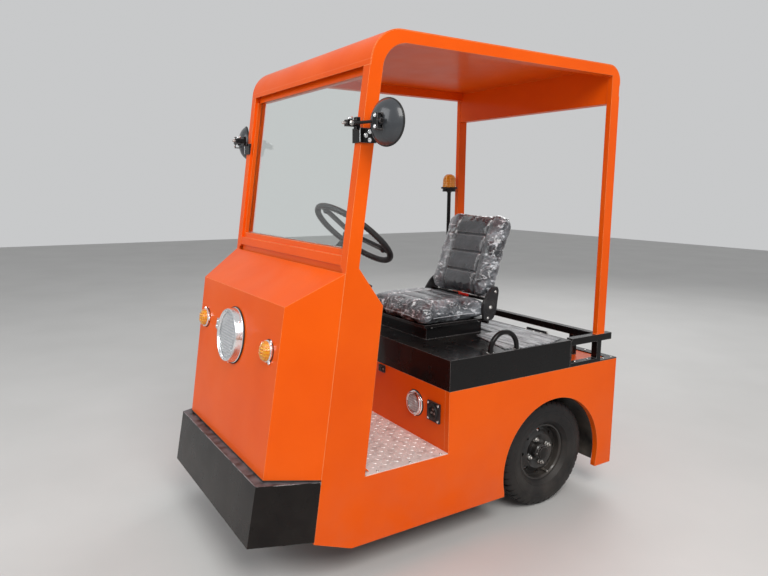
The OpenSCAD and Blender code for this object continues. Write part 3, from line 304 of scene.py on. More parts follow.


# In the enamel rows the colour after coat and shine is the edge colour, a painted highlight along folds and
# cut edges (on the bumper only along its top edge). The bumper's last colour is its scuffs.
RECIPES = (
    ("body_orange", enamel, (0.88, 0.112, 0.003), (0.80, 0.088, 0.002), 0.30, 0.4, 0.12, 0.10, 0.09,
     (1.0, 0.46, 0.18)),
    ("black_enamel", enamel, (0.0050, 0.0046, 0.0050), (0.009, 0.008, 0.008), 0.24, 0.4, 0.12, 0.22, 0.11,
     (0.27, 0.25, 0.25)),
    ("bumper_black", enamel, (0.0058, 0.0042, 0.0040), (0.011, 0.008, 0.007), 0.26, 0.5, 0.08, 0.18, 0.10,
     (0.66, 0.61, 0.62), (0.15, 0.13, 0.14)),
    ("rim_paint", enamel, (0.009, 0.009, 0.010), (0.018, 0.016, 0.015), 0.26, 0.5, 0.22, 0.35),
    ("mirror_shell", enamel, (0.040, 0.044, 0.050), (0.055, 0.060, 0.066), 0.24, 0.3, 0.15),
    ("bright_metal", metal, (0.93, 0.94, 0.95), 0.15, (0.84, 0.84, 0.85), 0.08),
    ("steel", metal, (0.62, 0.61, 0.59), 0.26, (0.40, 0.36, 0.32), 0.3),
    ("reflector", metal, (0.97, 0.98, 0.99), 0.20, (0.93, 0.94, 0.95), 0.0, 0.4, 0.45),
    ("tread_plate", metal, (0.88, 0.84, 0.81), 0.38, (0.46, 0.39, 0.37), 0.26, 0.2, 0.25),
    ("lamp_clear", lens, (0.99, 0.99, 1.0), (0.70, 0.73, 0.77), 30, 0.62),
    ("lamp_amber", lens, (1.0, 0.46, 0.01), (0.96, 0.30, 0.0), 28, 0.25),
    ("lamp_red", lens, (0.78, 0.015, 0.01), (0.5, 0.0, 0.0), 28, 0.35),
    ("wrap_film", lens, (0.55, 0.57, 0.60), (0.38, 0.40, 0.43), 46, 0.2),
    ("chassis_black", dull, (0.012, 0.011, 0.011), (0.026, 0.022, 0.020), 0.46, 180, 0.0004, 0.6),
    ("black_plastic", dull, (0.022, 0.022, 0.024), (0.04, 0.039, 0.038), 0.38, 900, 0.0003, 0.2),
    ("black_rubber", dull, (0.020, 0.020, 0.020), (0.05, 0.047, 0.044), 0.72, 240, 0.0003, 0.6),
    ("tyre_rubber", dull, (0.009, 0.0085, 0.009), (0.018, 0.016, 0.016), 0.52, 160, 0.0005, 0.13, 0.4),
    ("battery_case", dull, (0.035, 0.036, 0.038), (0.07, 0.068, 0.064), 0.5, 220, 0.0003, 0.5, 0.7),
    ("gauge_face", dull, (0.75, 0.75, 0.72), (0.66, 0.65, 0.61), 0.5, 400, 0.0001, 0.0),
    ("red_plastic", dull, (0.62, 0.018, 0.012), (0.48, 0.012, 0.010), 0.32, 500, 0.0002, 0.1),
    ("clear_glass", clear_glass),
    ("mirror_glass", mirror_glass),
    ("cushion_vinyl", cushion_vinyl),
    ("ribbed_mat", ribbed_mat),
)

looks = {name: recipe(name, *values) for name, recipe, *values in RECIPES}
for part in frame["record"]["subparts"]:
    surface = nodes[part["node"]]
    surface.data.materials.clear()
    surface.data.materials.append(looks[part["material_slot"]])
nodes["bumper"].data.materials[0] = looks["bumper_black"]


# Added pieces, in millimetres until they are done
METRES = 0.001
WELD_PITCH = 4


def move(x, y, z):
    return Matrix.Translation((x, y, z))


def spun(degrees, axis="Z"):
    return Matrix.Rotation(math.radians(degrees), 4, axis)


def aim(point, direction=(0, 0, 1)):
    """A place whose +Z points along a direction."""
    return move(*point) @ Vector(direction).to_track_quat("Z", "Y").to_matrix().to_4x4()


def turned(radius, angle, height=0.0):
    """A point at an angle in degrees about +Z."""
    return Vector((radius * math.cos(math.radians(angle)), radius * math.sin(math.radians(angle)), height))


def around(hub, count, radius, height=0.0, start=0.0):
    """Places at even steps about a hub's axis."""
    return [hub @ move(*turned(radius, start + 360 / count * i, height)) for i in range(count)]


def spread(count, low=-1.0, high=1.0):
    """Even steps from low to high."""
    return [low + (high - low) * i / (count - 1) for i in range(count)]


class Piece:
    """One added piece: closed solids gathered in a mesh that rides on a body."""

    def __init__(self, name, body, *slots):
        self.name, self.body, self.slots = name, body, slots
        self.mesh = bmesh.new()
        self.finish = 0

    def use(self, slot):
        """The solids that follow take this finish."""
        self.finish = self.slots.index(slot)
        return self

    def shell(self, points, faces, at=Matrix()):
        made = [self.mesh.verts.new(at @ Vector(p)) for p in points]
        for face in faces:
            self.mesh.faces.new([made[i] for i in face]).material_index = self.finish

    def lathe(self, profile, at, steps=28, closed=False):
        """Turns a profile of (radius, height) about +Z. It starts and ends on the axis."""
        points, rows = [], []
        for radius, height in profile:
            if radius:
                rows.append(list(range(len(points), len(points) + steps)))
                points += [turned(radius, 360 * i / steps, height) for i in range(steps)]
            else:
                rows.append([len(points)] * steps)
                points.append((0, 0, height))
        faces = []
        for a, b in zip(rows, rows[1:] + rows[:1] if closed else rows[1:]):
            for i in range(steps):
                j = (i + 1) % steps
                ring = [a[i], a[j], b[j], b[i]]
                faces.append([k for n, k in enumerate(ring) if k not in ring[:n]])
        self.shell(points, [face for face in faces if len(face) > 2], at)

    def ring(self, profile, at, steps=28):
        """Turns a profile that closes on itself."""
        self.lathe(profile, at, steps, closed=True)

    def block(self, size, at, edge=0.8):
        """A block of full size (x, y, z) about its middle, with chamfered edges."""
        half = [s / 2 for s in size]
        e = min(edge, *(h * 0.6 for h in half))
        points, index = [], {}
        for signs in itertools.product(SIDES, repeat=3):
            for axis in range(3):
                index[(*signs, axis)] = len(points)
                points.append([s * (h - e * (k != axis)) for k, (s, h) in enumerate(zip(signs, half))])
        square = ((-1, -1), (1, -1), (1, 1), (-1, 1))
        faces = []
        for s in SIDES:
            faces.append([index[s, a, b, 0] for a, b in square])
            faces.append([index[a, s, b, 1] for a, b in square])
            faces.append([index[a, b, s, 2] for a, b in square])
        for a, b in square:
            faces.append([index[a, b, -1, 0], index[a, b, 1, 0], index[a, b, 1, 1], index[a, b, -1, 1]])
            faces.append([index[a, -1, b, 0], index[a, 1, b, 0], index[a, 1, b, 2], index[a, -1, b, 2]])
            faces.append([index[-1, a, b, 1], index[1, a, b, 1], index[1, a, b, 2], index[-1, a, b, 2]])
            for c in SIDES:
                faces.append([index[a, b, c, axis] for axis in range(3)])
        self.shell(points, faces, at)

    def prism(self, outline, thick, at, edge=0.6):
        """A plate of an outline of (x, y) points, thick along +Z, its upper rim chamfered."""
        count = len(outline)
        middle = middle_of(outline)
        reach = max((Vector(p) - middle).length for p in outline)
        inner = [middle + (Vector(p) - middle) * (1 - edge / reach) for p in outline]
        points = [(x, y, z) for z in (0, thick - edge) for x, y in outline]
        points += [(p.x, p.y, thick) for p in inner]
        self.shell(points, tower(count, 3), at)

    def tube(self, path, radius, at=Matrix(), sides=10):
        """A round bar along points, its radius plain or one for each point."""
        path = [Vector(p) for p in path]
        count = len(path)
        radii = radius if isinstance(radius, list) else [radius] * count
        points, side = [], None
        for i, centre in enumerate(path):
            along = (path[min(i + 1, count - 1)] - path[max(i - 1, 0)]).normalized()
            if side is None:
                side = along.orthogonal().normalized()
            side = (side - along * side.dot(along)).normalized()
            over = along.cross(side)
            for k in range(sides):
                turn = 2 * math.pi * k / sides
                points.append(centre + radii[i] * (math.cos(turn) * side + math.sin(turn) * over))
        self.shell(points, tower(sides, count), at)

    def bolt(self, at, radius, high=None, washer=True):
        """A hexagon head with its chamfer, on a washer."""
        seat = radius * 0.22 if washer else 0
        if washer:
            rim = [(0, 0), (radius * 1.35, 0), (radius * 1.35, seat * 0.7), (radius * 1.25, seat), (0, seat)]
            self.lathe(rim, at, 20)
        high = high or radius * 0.7
        top = seat + high
        self.lathe([(0, seat), (radius, seat), (radius, top - high * 0.2), (radius * 0.82, top), (0, top)],
                   at, 6)

    def screw(self, at, radius):
        """A domed head with a round socket."""
        dome = ((0, 0), (1, 0), (1, 0.18), (0.8, 0.48), (0.5, 0.6), (0.42, 0.54), (0.36, 0.18), (0, 0.18))
        self.lathe([(radius * r, radius * high) for r, high in dome], at, 16)

    def weld(self, start, end, size=3.5):
        """A weld bead: overlapping ripples from start to end."""
        start, end = Vector(start), Vector(end)
        count = max(int((end - start).length / (WELD_PITCH / 3)), 6)
        radii = []
        for i in range(count + 1):
            uneven = 0.12 * noise.noise(start * 0.09 + Vector((i, 0, 0)))
            ripple = 0.82 + 0.18 * abs(math.sin(math.pi * i / 3)) + uneven
            radii.append(size * ripple * (0.35 + 0.65 * min(i, count - i, 2) / 2))
        self.tube([start.lerp(end, i / count) for i in range(count + 1)], radii, sides=7)

    def done(self, *stands_for, crisp=32):
        """Closes the mesh, gives it its materials and hangs it on its body."""
        bmesh.ops.recalc_face_normals(self.mesh, faces=self.mesh.faces)
        for face in self.mesh.faces:
            face.smooth = True
        mesh = bpy.data.meshes.new(self.name)
        self.mesh.to_mesh(mesh)
        self.mesh.free()
        mesh.transform(Matrix.Scale(METRES, 4))
        mesh.set_sharp_from_angle(angle=math.radians(crisp))
        for slot in self.slots:
            mesh.materials.append(looks[slot])
        piece = link(self.name, mesh)
        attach(piece, self.body)
        if stands_for:
            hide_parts(*stands_for)


def middle_of(outline):
    return Vector([sum(p[axis] for p in outline) / len(outline) for axis in (0, 1)])


def tower(count, levels):
    """Faces of levels of count points each, closed at both ends."""
    faces = [list(range(count))[::-1], list(range((levels - 1) * count, levels * count))]
    for low in range(0, (levels - 1) * count, count):
        for i in range(count):
            j = (i + 1) % count
            faces.append([low + i, low + j, low + count + j, low + count + i])
    return faces


# Wheels: tyres with a cut tread, nuts, caps and valves
REAR_WHEEL = Vector((400, 430, 232))
FRONT_WHEEL = Vector((0, -590, 190))
TREAD_DEEP = 5.5
NOTCH_STEPS = ((0.0, 0), (0.035, 1), (0.235, 1), (0.27, 0), (0.5, 0), (0.75, 0))


def tyre_section(radius, width, bead):
    """Half the tyre's section as (offset, radius, notch): from the tread's middle out to the bead."""
    wall = (bead + radius) / 2
    section = [(0.0, radius, 0)]
    for offset, down in ((-3.6, 0), (-2.8, 1), (2.8, 1), (3.6, 0)):
        section.append((0.13 * width + offset, radius - down * TREAD_DEEP, 0))
    for share, down, notch in ((0.215, 0, 0), (0.225, 0.1, 1), (0.34, 0.4, 1), (0.385, 3, 1), (0.43, 9, 0.9),
                               (0.462, 16, 0.5), (0.478, 24, 0)):
        section.append((share * width, radius - down, notch))
    section.append((0.49 * width, (bead + 2 * radius) / 3 + 6, 0))
    for down, out in ((0, 0), (1.2, 0.9), (3.2, 0.9), (4.4, 0)):
        section.append((0.494 * width + out, wall + 10 - down, 0))
    section += [(0.499 * width, wall, 0), (0.482 * width, wall - 12, 0)]
    for down, out in ((0, 0), (1, 1.1), (2.6, 1.1), (3.6, 0)):
        section.append((0.435 * width + out, bead + 20 - down, 0))
    return section + [(0.37 * width, bead + 8, 0), (0.335 * width, bead + 2.5, 0), (0.30 * width, bead, 0)]


def make_tyre(node, body, centre, radius, width, bead, pitches):
    """A tyre in its node's form, with two zigzag grooves and notched shoulders."""
    half = tyre_section(radius, width, bead)
    section = half + [(-x, r, notch) for x, r, notch in reversed(half[1:])]
    points = []
    for pitch in range(pitches):
        for part, deep in NOTCH_STEPS:
            angle, swing = (pitch + part) / pitches * 360, 1 - abs(part * 2 - 1) * 2
            for offset, r, notch in section:
                zigzag = 2 * swing if 0 < abs(offset) < 0.2 * width else 0
                stagger = deep if offset > 0 else 1 - deep if notch else 0
                at = turned(r - notch * stagger * TREAD_DEEP * (1 if offset > 0 else 0.8), angle)
                points.append((offset + zigzag, at.x, at.y))
    count, ring = len(section), pitches * len(NOTCH_STEPS)
    faces = []
    for i in range(ring):
        a, b = i * count, (i + 1) % ring * count
        for k in range(count):
            n = (k + 1) % count
            faces.append([a + k, b + k, b + n, a + n])
    tyre = Piece(node + "_tread", body, "tyre_rubber")
    tyre.shell(points, faces, move(*centre))
    tyre.done(node, crisp=28)


def rear_wheel(side, name):
    body = "rear_wheel_" + name
    centre = Vector((side * REAR_WHEEL.x, REAR_WHEEL.y, REAR_WHEEL.z))
    make_tyre("rear_tyre_" + name, body, centre, 232, 140, 124, 44)
    hub = aim(centre, (side, 0, 0))
    trim = Piece("wheel_fittings_" + name, body, "steel", "black_rubber", "black_enamel")
    for seat in around(hub, 4, 58, 18.5, 18):
        trim.lathe([(0, 0), (13.5, 0), (13.5, 2), (10.5, 3.5), (0, 3.5)], seat, 24)
        trim.bolt(seat @ move(0, 0, 3.5), 10.5, 9.5, washer=False)
        trim.lathe([(0, 0), (5.5, 0), (5.5, 19), (4.5, 20.5), (0, 20.5)], seat, 14)
    cap = [(0, 45), (28.5, 45), (28.5, 54), (26.5, 57.5), (12, 61), (0, 61.5)]
    trim.use("black_enamel").lathe(cap, hub, 32)
    trim.ring([(28.5, 47), (32.5, 47), (32.5, 50), (28.5, 50)], hub, 32)
    trim.use("steel")
    for at in around(hub, 3, 31.5, 47.5, 60):
        trim.screw(at, 3)
    valve = hub @ move(*turned(104, 292, 10))
    trim.use("black_rubber").lathe([(0, 0), (5.5, 0), (4.8, 10), (4, 24), (0, 24)], valve, 14)
    trim.use("steel").lathe([(0, 24), (4.6, 24), (4.6, 34), (3.5, 36), (0, 36)], valve, 10)
    for z in (38, -38):
        flange = [(118, z), (123.5, z), (125.5, z + 1.4), (123.5, z + 3), (118, z + 3)]
        trim.use("black_enamel").ring(flange, hub, 64)
    trim.done()


def front_wheel():
    make_tyre("front_tyre", "front_wheel", FRONT_WHEEL, 190, 96, 100, 38)
    trim = Piece("wheel_fittings_front", "front_wheel", "steel", "black_enamel", "black_rubber")
    for side in SIDES:
        hub = aim(FRONT_WHEEL, (side, 0, 0))
        for at in around(hub, 6, 62, 7.8, 30):
            trim.bolt(at, 7.5, 7)
        trim.use("black_enamel").ring([(34, 8), (45, 8), (45, 11), (36, 20), (34, 20)], hub, 36)
        trim.use("steel").ring([(30, 53.5), (33.5, 53.5), (33.5, 55.5), (30, 55.5)], hub, 32)
    valve = aim(FRONT_WHEEL, (1, 0, 0)) @ move(*turned(80, 15, 7.8))
    trim.use("black_rubber").lathe([(0, 0), (5, 0), (4, 28), (0, 28)], valve, 14)
    trim.done()


rear_wheel(1, "left")
rear_wheel(-1, "right")
front_wheel()


# Lamps, socket and beacon
NOSE_LEAN = 8.02
NOSE_FOOT_Y, NOSE_FOOT_Z = -832, 400
HEADLAMP_Z, HEADLAMP_R = 805, 104
LENS_R, LENS_OUT, LENS_RIB_PITCH = HEADLAMP_R - 15.5, 13.4, 10.5
CLIP_TURN = 166
INDICATOR_X, INDICATOR_Z = 330, 815
RISER_LAMP = (286, -134, 510)
SOCKET = (411, -134, 510)
TAIL_X, TAIL_Y, TAIL_Z = 380, 820, 520
BEACON = (-479, 618, 1357)
INDICATOR_STEPS = ((12.5, 34.2), (17.2, 32.2), (21.4, 30), (24.6, 24.4))
TAIL_STEPS = ((10, 23.8), (20, 23.2), (30, 22.6), (38, 20.5))


def on_nose(x, z):
    """A place on the nose's front, +Z out of it and +Y up along it."""
    y = NOSE_FOOT_Y + (z - NOSE_FOOT_Z) * math.tan(math.radians(NOSE_LEAN))
    return move(x, y, z) @ spun(90 - NOSE_LEAN, "X")


def headlamp():
    at = on_nose(0, HEADLAMP_Z)
    lamp = Piece("headlamp_fittings", "chassis", "bright_metal", "black_rubber", "steel", "reflector",
                 "lamp_clear")
    gasket = ((-4, 0.4), (3, 0.4), (4.2, 2), (3.4, 5), (1.2, 5.6), (1.2, 1.2))
    rim = ((-11.5, 31.8), (-9.8, 33.6), (-7.6, 33.6), (-6, 31.8), (-5.4, 29), (-6.6, 30))
    for slot, profile in (("black_rubber", gasket), ("bright_metal", rim)):
        lamp.use(slot).ring([(HEADLAMP_R + r, z) for r, z in profile], at, 72)
    bowl = [(12, -30), (30, -28.5), (50, -22), (68, -11), (82, 4), (LENS_R, 12.5)]
    steps = [bowl[0]]
    for (r0, z0), (r1, z1) in zip(bowl, bowl[1:]):
        steps += [(r0 + 0.1, z0 + 0.4), (r1 - 0.4, z1 - 0.2), (r1, z1)]
    lamp.use("reflector").ring(steps + [(r + 1.4, z - 1.8) for r, z in reversed(steps)], at, 30)
    lamp.lathe([(0, -28), (12, -28), (12, -14), (8, -10), (0, -10)], at, 20)
    lamp.use("lamp_clear").lathe([(0, -10), (6.5, -10), (7.5, -4), (5.5, 4), (0, 6)], at, 20)
    lamp.use("steel").lathe([(7.8, -3), (8.6, -3), (8.6, 7), (0, 9.5), (0, 8.2), (7.8, 6.5)], at, 20)
    clip = at @ spun(CLIP_TURN) @ move(HEADLAMP_R, 0, 0)
    lamp.use("bright_metal")
    lamp.prism([(-12, -21), (8.5, -21), (8.5, 21), (-12, 21)], 3.5, clip @ move(-2, 0, 32.2), 1.2)
    lamp.block((3.2, 42, 30), clip @ move(5.5, 0, 18.5), 1)
    for y in (10, -10):
        lamp.screw(clip @ move(-1, y, 35.6), 4.5)
    for turn in (38, 278):
        lamp.screw(at @ spun(turn) @ aim((HEADLAMP_R - 2.8, 0, 17), (1, 0, 0)), 4.2)
    lamp.done(crisp=20)
    ribs = Piece("headlamp_lens_ribs", "chassis", "lamp_clear")
    for i in range(-7, 8):
        x = i * LENS_RIB_PITCH
        reach = math.sqrt(max((LENS_R - 10) ** 2 - x ** 2, 0))
        ribs.tube([(x, y, LENS_OUT) for y in spread(11, -reach, reach)], 1.1, at, sides=8)
    ribs.done()


def indicators():
    trim = Piece("indicator_fittings", "chassis", "bright_metal", "lamp_amber", "black_rubber")
    for side in SIDES:
        at = on_nose(side * INDICATOR_X, INDICATOR_Z)
        trim.use("black_rubber").ring([(30, 0.4), (40, 0.4), (40.8, 1.6), (38.8, 2.6), (30, 2.6)], at, 48)
        trim.use("bright_metal").ring([(33.8, 9.4), (35, 11.2), (36.6, 10.8), (37.8, 9), (36, 8.6)], at, 48)
        for turn in (60, 180, 300):
            lug = at @ spun(turn if side > 0 else 180 - turn)
            trim.block((13, 14, 5), lug @ move(40, 0, 3.2), 1.6)
            trim.screw(lug @ move(42, 0, 5.7), 4.2)
        trim.use("lamp_amber")
        for z, r in INDICATOR_STEPS:
            edge = ((-3, -1), (0.6, -0.8), (1, 0.4), (-0.4, 1.3), (-3, 1.2))
            trim.ring([(r + out, z + up) for out, up in edge], at, 48)
        for y in (-10.5, 0, 10.5):
            path = [(x, y, 27 + 1.4 * math.sin(math.pi * (x + 15) / 30)) for x in spread(9, -15, 15)]
            trim.tube(path, [1.2, 3, 3.8, 4.2, 4.3, 4.2, 3.8, 3, 1.2], at, sides=12)
    trim.done(crisp=30)


def riser_lamp():
    at = aim(RISER_LAMP, (0, -1, 0))
    trim = Piece("riser_lamp_fittings", "chassis", "bright_metal", "reflector", "black_rubber", "lamp_clear")
    trim.ring([(37, 10), (37.8, 13), (40.5, 15.2), (44.5, 14.8), (47.4, 11.8), (47.8, 7), (44, 6.4),
               (38.5, 9.2)], at, 64)
    for turn in (30, 150, 270):
        lug = at @ spun(turn)
        trim.block((10, 11, 4.6), lug @ move(49.5, 0, 3), 1.6)
        trim.screw(lug @ move(51.2, 0, 5.3), 3)
    trim.use("black_rubber").ring([(45, 0.4), (53, 0.4), (53.6, 1.6), (51.2, 2.6), (45, 2.6)], at, 56)
    dish = [(0, 0.4), (30, 1), (40.5, 2.6), (40.5, 3.1), (30, 2.2), (12, 1.4), (0, 1.4)]
    trim.use("reflector").lathe(dish, at, 40)
    trim.use("lamp_clear")
    for r in (12, 20, 28):
        z = 13.8 - max(r - 18, 0) * 0.18
        trim.ring([(r - 1.8, z - 1), (r - 1, z + 0.7), (r + 1, z + 0.5), (r + 1.8, z - 1.2)], at, 48)
    trim.done()


def socket():
    at = aim(SOCKET, (0, -1, 0))
    trim = Piece("socket_fittings", "chassis", "black_plastic", "steel", "bright_metal")
    for x, z in itertools.product(SIDES, SIDES):
        trim.use("bright_metal").screw(at @ move(x * 30.5, z * 30.5, 8.3), 5)
    collar = [(22.8, 11), (27.2, 11), (28.6, 12.8), (28, 15.2), (24, 15.6), (22.8, 14.6)]
    trim.use("black_plastic").ring(collar, at, 40)
    trim.block((14, 4, 6), at @ move(0, 30, 11.6), 1)
    for pin in around(at, 3, 10.5, 6, 90):
        trim.use("steel").ring([(2.6, 0), (4.6, 0), (4.6, 3.2), (3.6, 4), (2.6, 3.6)], pin, 18)
    trim.done()


def tail_lamps():
    trim = Piece("tail_lamp_fittings", "chassis", "bright_metal", "lamp_red", "lamp_amber")
    for side in SIDES:
        at = aim((side * TAIL_X, TAIL_Y, TAIL_Z), (0, 1, 0))
        rim = [(44.5, 0.4), (52, 0.4), (53, 3), (51.5, 8.5), (48.5, 10.5), (48.2, 2)]
        trim.use("bright_metal").ring(rim, at, 56)
        for spot in around(at, 2, 50, 8.5, 90):
            trim.screw(spot, 3.6)
        for r, z in TAIL_STEPS:
            trim.use("lamp_red" if r > 20 else "lamp_amber")
            trim.ring([(r - 3, z - 2), (r - 1.6, z + 1), (r + 1.6, z + 0.8), (r + 3, z - 2)], at, 56)
    trim.done()


def beacon():
    at = move(*BEACON)
    trim = Piece("beacon_fittings", "chassis", "lamp_amber", "black_rubber", "bright_metal", "black_enamel")
    for i in range(9):
        z = 14 + 5.2 * i
        r = 36.2 - 1.6 * max(z - 10, 0) / 37
        trim.ring([(r - 2, z - 1.2), (r + 0.8, z - 0.6), (r + 0.8, z + 0.6), (r - 2, z + 1.2)], at, 44)
    trim.use("black_rubber").ring([(40.5, -0.6), (43.2, 0.4), (43.6, 4), (43, 8.2), (40.5, 8.8)], at, 48)
    trim.use("bright_metal")
    for spot in around(at, 3, 38.5, 9.5, 20):
        trim.screw(spot, 2.6)
    trim.use("black_enamel")
    for z in (-15.5, -604):
        trim.ring([(9.5, z - 6), (12.5, z - 4), (13.5, z), (11, z + 4), (9.5, z + 5)], at, 24)
    trim.done()


headlamp()
indicators()
riser_lamp()
socket()
tail_lamps()
beacon()


# Cab: floor, pedals, dashboard, steering wheel, mirrors and windscreen
PANEL_IN = 475
FLOOR_TOP, FLOOR_FRONT, RISER_Y = 373, -467, -134
TREAD_PITCH, TREAD_LONG = 26, 17
TREAD_SHAPE = ((-0.5, 0), (-0.25, 0.11), (0, 0.15), (0.25, 0.11), (0.5, 0), (0.25, -0.11), (0, -0.15),
               (-0.25, -0.11))
PEDAL_Y, PEDAL_Z, TOE_LEAN = -505.6, 414.7, 46.5
STEER_AT, STEER_TILT, STEER_SPOKES = (0, -254, 1170), 40, (30, 150, 270)
STEER_R, STEER_RIM = 178, 12.4
DASH_BACK, DASH_Z = -562, 998
DASH_SLOPE = math.degrees(math.atan2(72 - 34, 104 - 40))
PILLAR_RAKE, PILLAR_FOOT_Y, PILLAR_FOOT_Z = 7.63, -575, 1082
MIRROR_X, MIRROR_Z, MIRROR_TOE = 602, 1556, 12
CLAMP_Y, CLAMP_Z, CLAMP_OUT = -525.2, 1521, 506
SCREEN_HALF, SCREEN_IN = 446, 31.8


def on_column(down=0.0):
    """A place on the steering column's axis, a distance below the wheel's middle, +Z up the axis."""
    return move(*STEER_AT) @ spun(-STEER_TILT, "X") @ move(0, 0, -down)


def floor_treads():
    """Raised five-bar tread of the floor plate, and its countersunk screws."""
    tread = Piece("floor_treads", "chassis", "tread_plate", "steel")
    columns, rows = int(2 * PANEL_IN / TREAD_PITCH), int((RISER_Y - FLOOR_FRONT) / TREAD_PITCH)
    low = [(TREAD_LONG * a, TREAD_LONG * b, 0) for a, b in TREAD_SHAPE]
    lug = low + [(x * 0.78, y * 0.55, 1.7) for x, y, z in low]
    for i, j in itertools.product(range(columns), range(rows)):
        x, y = (i + 0.5 - columns / 2) * TREAD_PITCH, FLOOR_FRONT + 12 + (j + 0.5) * TREAD_PITCH
        turn = 45 if (i + j) % 2 else -45
        tread.shell(lug, tower(len(low), 2), move(x, y, FLOOR_TOP - 0.2) @ spun(turn))
    for side, y in itertools.product(SIDES, (-440, -300, -160)):
        tread.use("steel").screw(move(side * 486.5, y, FLOOR_TOP), 5)
    tread.done()


def pedals():
    """Ribbed rubber faces of the two pedals, with their clamping screws."""
    trim = Piece("pedal_treads", "chassis", "black_rubber", "steel")
    for x, width in ((-110, 70), (-210, 52)):
        face = move(x, PEDAL_Y, PEDAL_Z) @ spun(-TOE_LEAN, "X")
        for y in spread(9, -34, 34):
            trim.use("black_rubber").block((width - 10, 3.8, 3), face @ move(0, y, 53.5), 0.9)
        for side in SIDES:
            trim.use("steel").screw(face @ move(side * 10, 0, 53), 3.4)
    trim.done()


def dashboard():
    """Charge gauge, key switch, buttons and their frame on the dashboard's sloping face."""
    face = move(0, DASH_BACK + 72, DASH_Z + 53) @ spun(-DASH_SLOPE, "X")
    trim = Piece("dash_fittings", "chassis", "black_plastic", "bright_metal", "gauge_face", "red_plastic",
                 "lamp_amber", "steel")
    gauge = face @ move(160, 0, 0.8)
    trim.ring([(24.5, -2), (30, -2), (30, 6), (28.5, 8.5), (26, 8.5), (24.5, 5)], gauge, 40)
    trim.use("gauge_face").lathe([(0, 0), (24.6, 0), (24.6, 1.8), (0, 1.8)], gauge, 40)
    trim.use("black_plastic")
    for tick in range(11):
        mark = gauge @ spun(225 - 27 * tick) @ move(20.5, 0, 2)
        trim.block((4.8 if tick % 5 == 0 else 2.8, 0.9, 0.6), mark, 0.1)
    needle = gauge @ spun(50) @ move(0, 0, 2.6)
    trim.use("red_plastic").prism([(-4, -1.4), (19, -0.4), (19, 0.4), (-4, 1.4)], 1, needle, 0.2)
    trim.use("black_plastic").lathe([(0, 1.8), (3.4, 1.8), (3, 4.6), (0, 5)], gauge, 18)
    key = face @ move(235, 2, 0)
    trim.use("bright_metal").lathe([(0, 0), (13, 0), (13, 3), (10.5, 6), (4, 6.6), (0, 6.6)], key, 28)
    trim.block((3.2, 11, 6), key @ move(0, 0, 7), 0.6)
    trim.use("black_plastic").block((7, 20, 15), key @ move(0, 0, 16.5), 3)
    for x, slot in ((-150, "black_plastic"), (-190, "black_plastic"), (-230, "red_plastic")):
        trim.use("black_plastic").block((24, 34, 5), face @ move(x, 0, 2.2), 1.6)
        trim.use(slot).block((17, 26, 5.5), face @ move(x, 0, 6.2) @ Matrix.Rotation(0.16, 4, "X"), 1.4)
    dome = [(0, 0), (6, 0), (5.5, 4), (3.5, 6.2), (0, 6.8)]
    for x in (110, 290):
        trim.use("lamp_amber").lathe(dome, face @ move(x, 0, 0), 20)
    trim.use("steel")
    for x in (-445, -330, 345, 445):
        trim.screw(face @ move(x, 10, 0), 4.2)
    trim.done()


def steering_wheel():
    """Hub cap with its horn button, grip notches under the rim and weld fillets at the spokes."""
    at = on_column()
    trim = Piece("steering_fittings", "steering_wheel", "black_plastic", "bright_metal")
    trim.lathe([(0, 3.5), (32.5, 3.5), (32.5, 7), (29, 11), (21.5, 12.5), (20.5, 10.5), (18.5, 10.5),
                (17.5, 14), (8, 16), (0, 16.2)], at, 40)
    trim.ring([(35, -26.5), (37.2, -24), (37.2, -4), (35, -1), (33.5, -4), (33.5, -24)], at, 40)
    trim.use("bright_metal").ring([(20, 10.8), (21.2, 12.8), (22.4, 12.4), (22.2, 11.2)], at, 40)
    trim.use("black_plastic")
    grip = []
    for t in range(-30, 125, 22):
        grip.append((-STEER_RIM * math.sin(math.radians(t)), 0, -STEER_RIM * math.cos(math.radians(t))))
    for angle in range(0, 360, 5):
        if min(abs((angle - spoke + 180) % 360 - 180) for spoke in STEER_SPOKES) >= 6:
            trim.tube(grip, 1.4, at @ move(*turned(STEER_R, angle)) @ spun(angle), sides=6)
    for spoke in STEER_SPOKES:
        for side in SIDES:
            path = [(96 + 56 * t, side * 12.5, -1.6 + 0.6 * math.cos(math.pi / 2 * t)) for t in spread(9)]
            trim.tube(path, 1.9, at @ spun(spoke), sides=8)
        fillet = at @ spun(spoke) @ move(158, 0, -6.5) @ spun(90, "Y")
        trim.lathe([(0, -10), (11, -9), (14.5, -2), (13.5, 4), (8, 8), (0, 9)], fillet, 14)
    trim.done()
    boot = Piece("column_fittings", "chassis", "black_rubber", "steel")
    profile = [(24.5, 0)]
    for ring in range(6):
        z = 4 + 8 * ring
        profile += [(33.5 - 0.7 * ring, z), (34.5 - 0.8 * ring, z + 2.5), (27.5 - 0.3 * ring, z + 6)]
    profile += [(24.5, 53)]
    boot.ring(profile, on_column(108), 36)
    boot.use("steel").ring([(24.4, -12), (28.5, -12), (28.5, -2), (24.4, -2)], on_column(104), 36)
    boot.done()


def pillar_y(z):
    """Y of the front pillars' front edge at a height."""
    return PILLAR_FOOT_Y + (z - PILLAR_FOOT_Z) * math.tan(math.radians(PILLAR_RAKE))


def mirror_head(side):
    """The place of a mirror's middle, +Z towards its pane."""
    middle = move(side * MIRROR_X, pillar_y(MIRROR_Z) - 4, MIRROR_Z)
    return middle @ spun(side * MIRROR_TOE) @ spun(-90, "X")


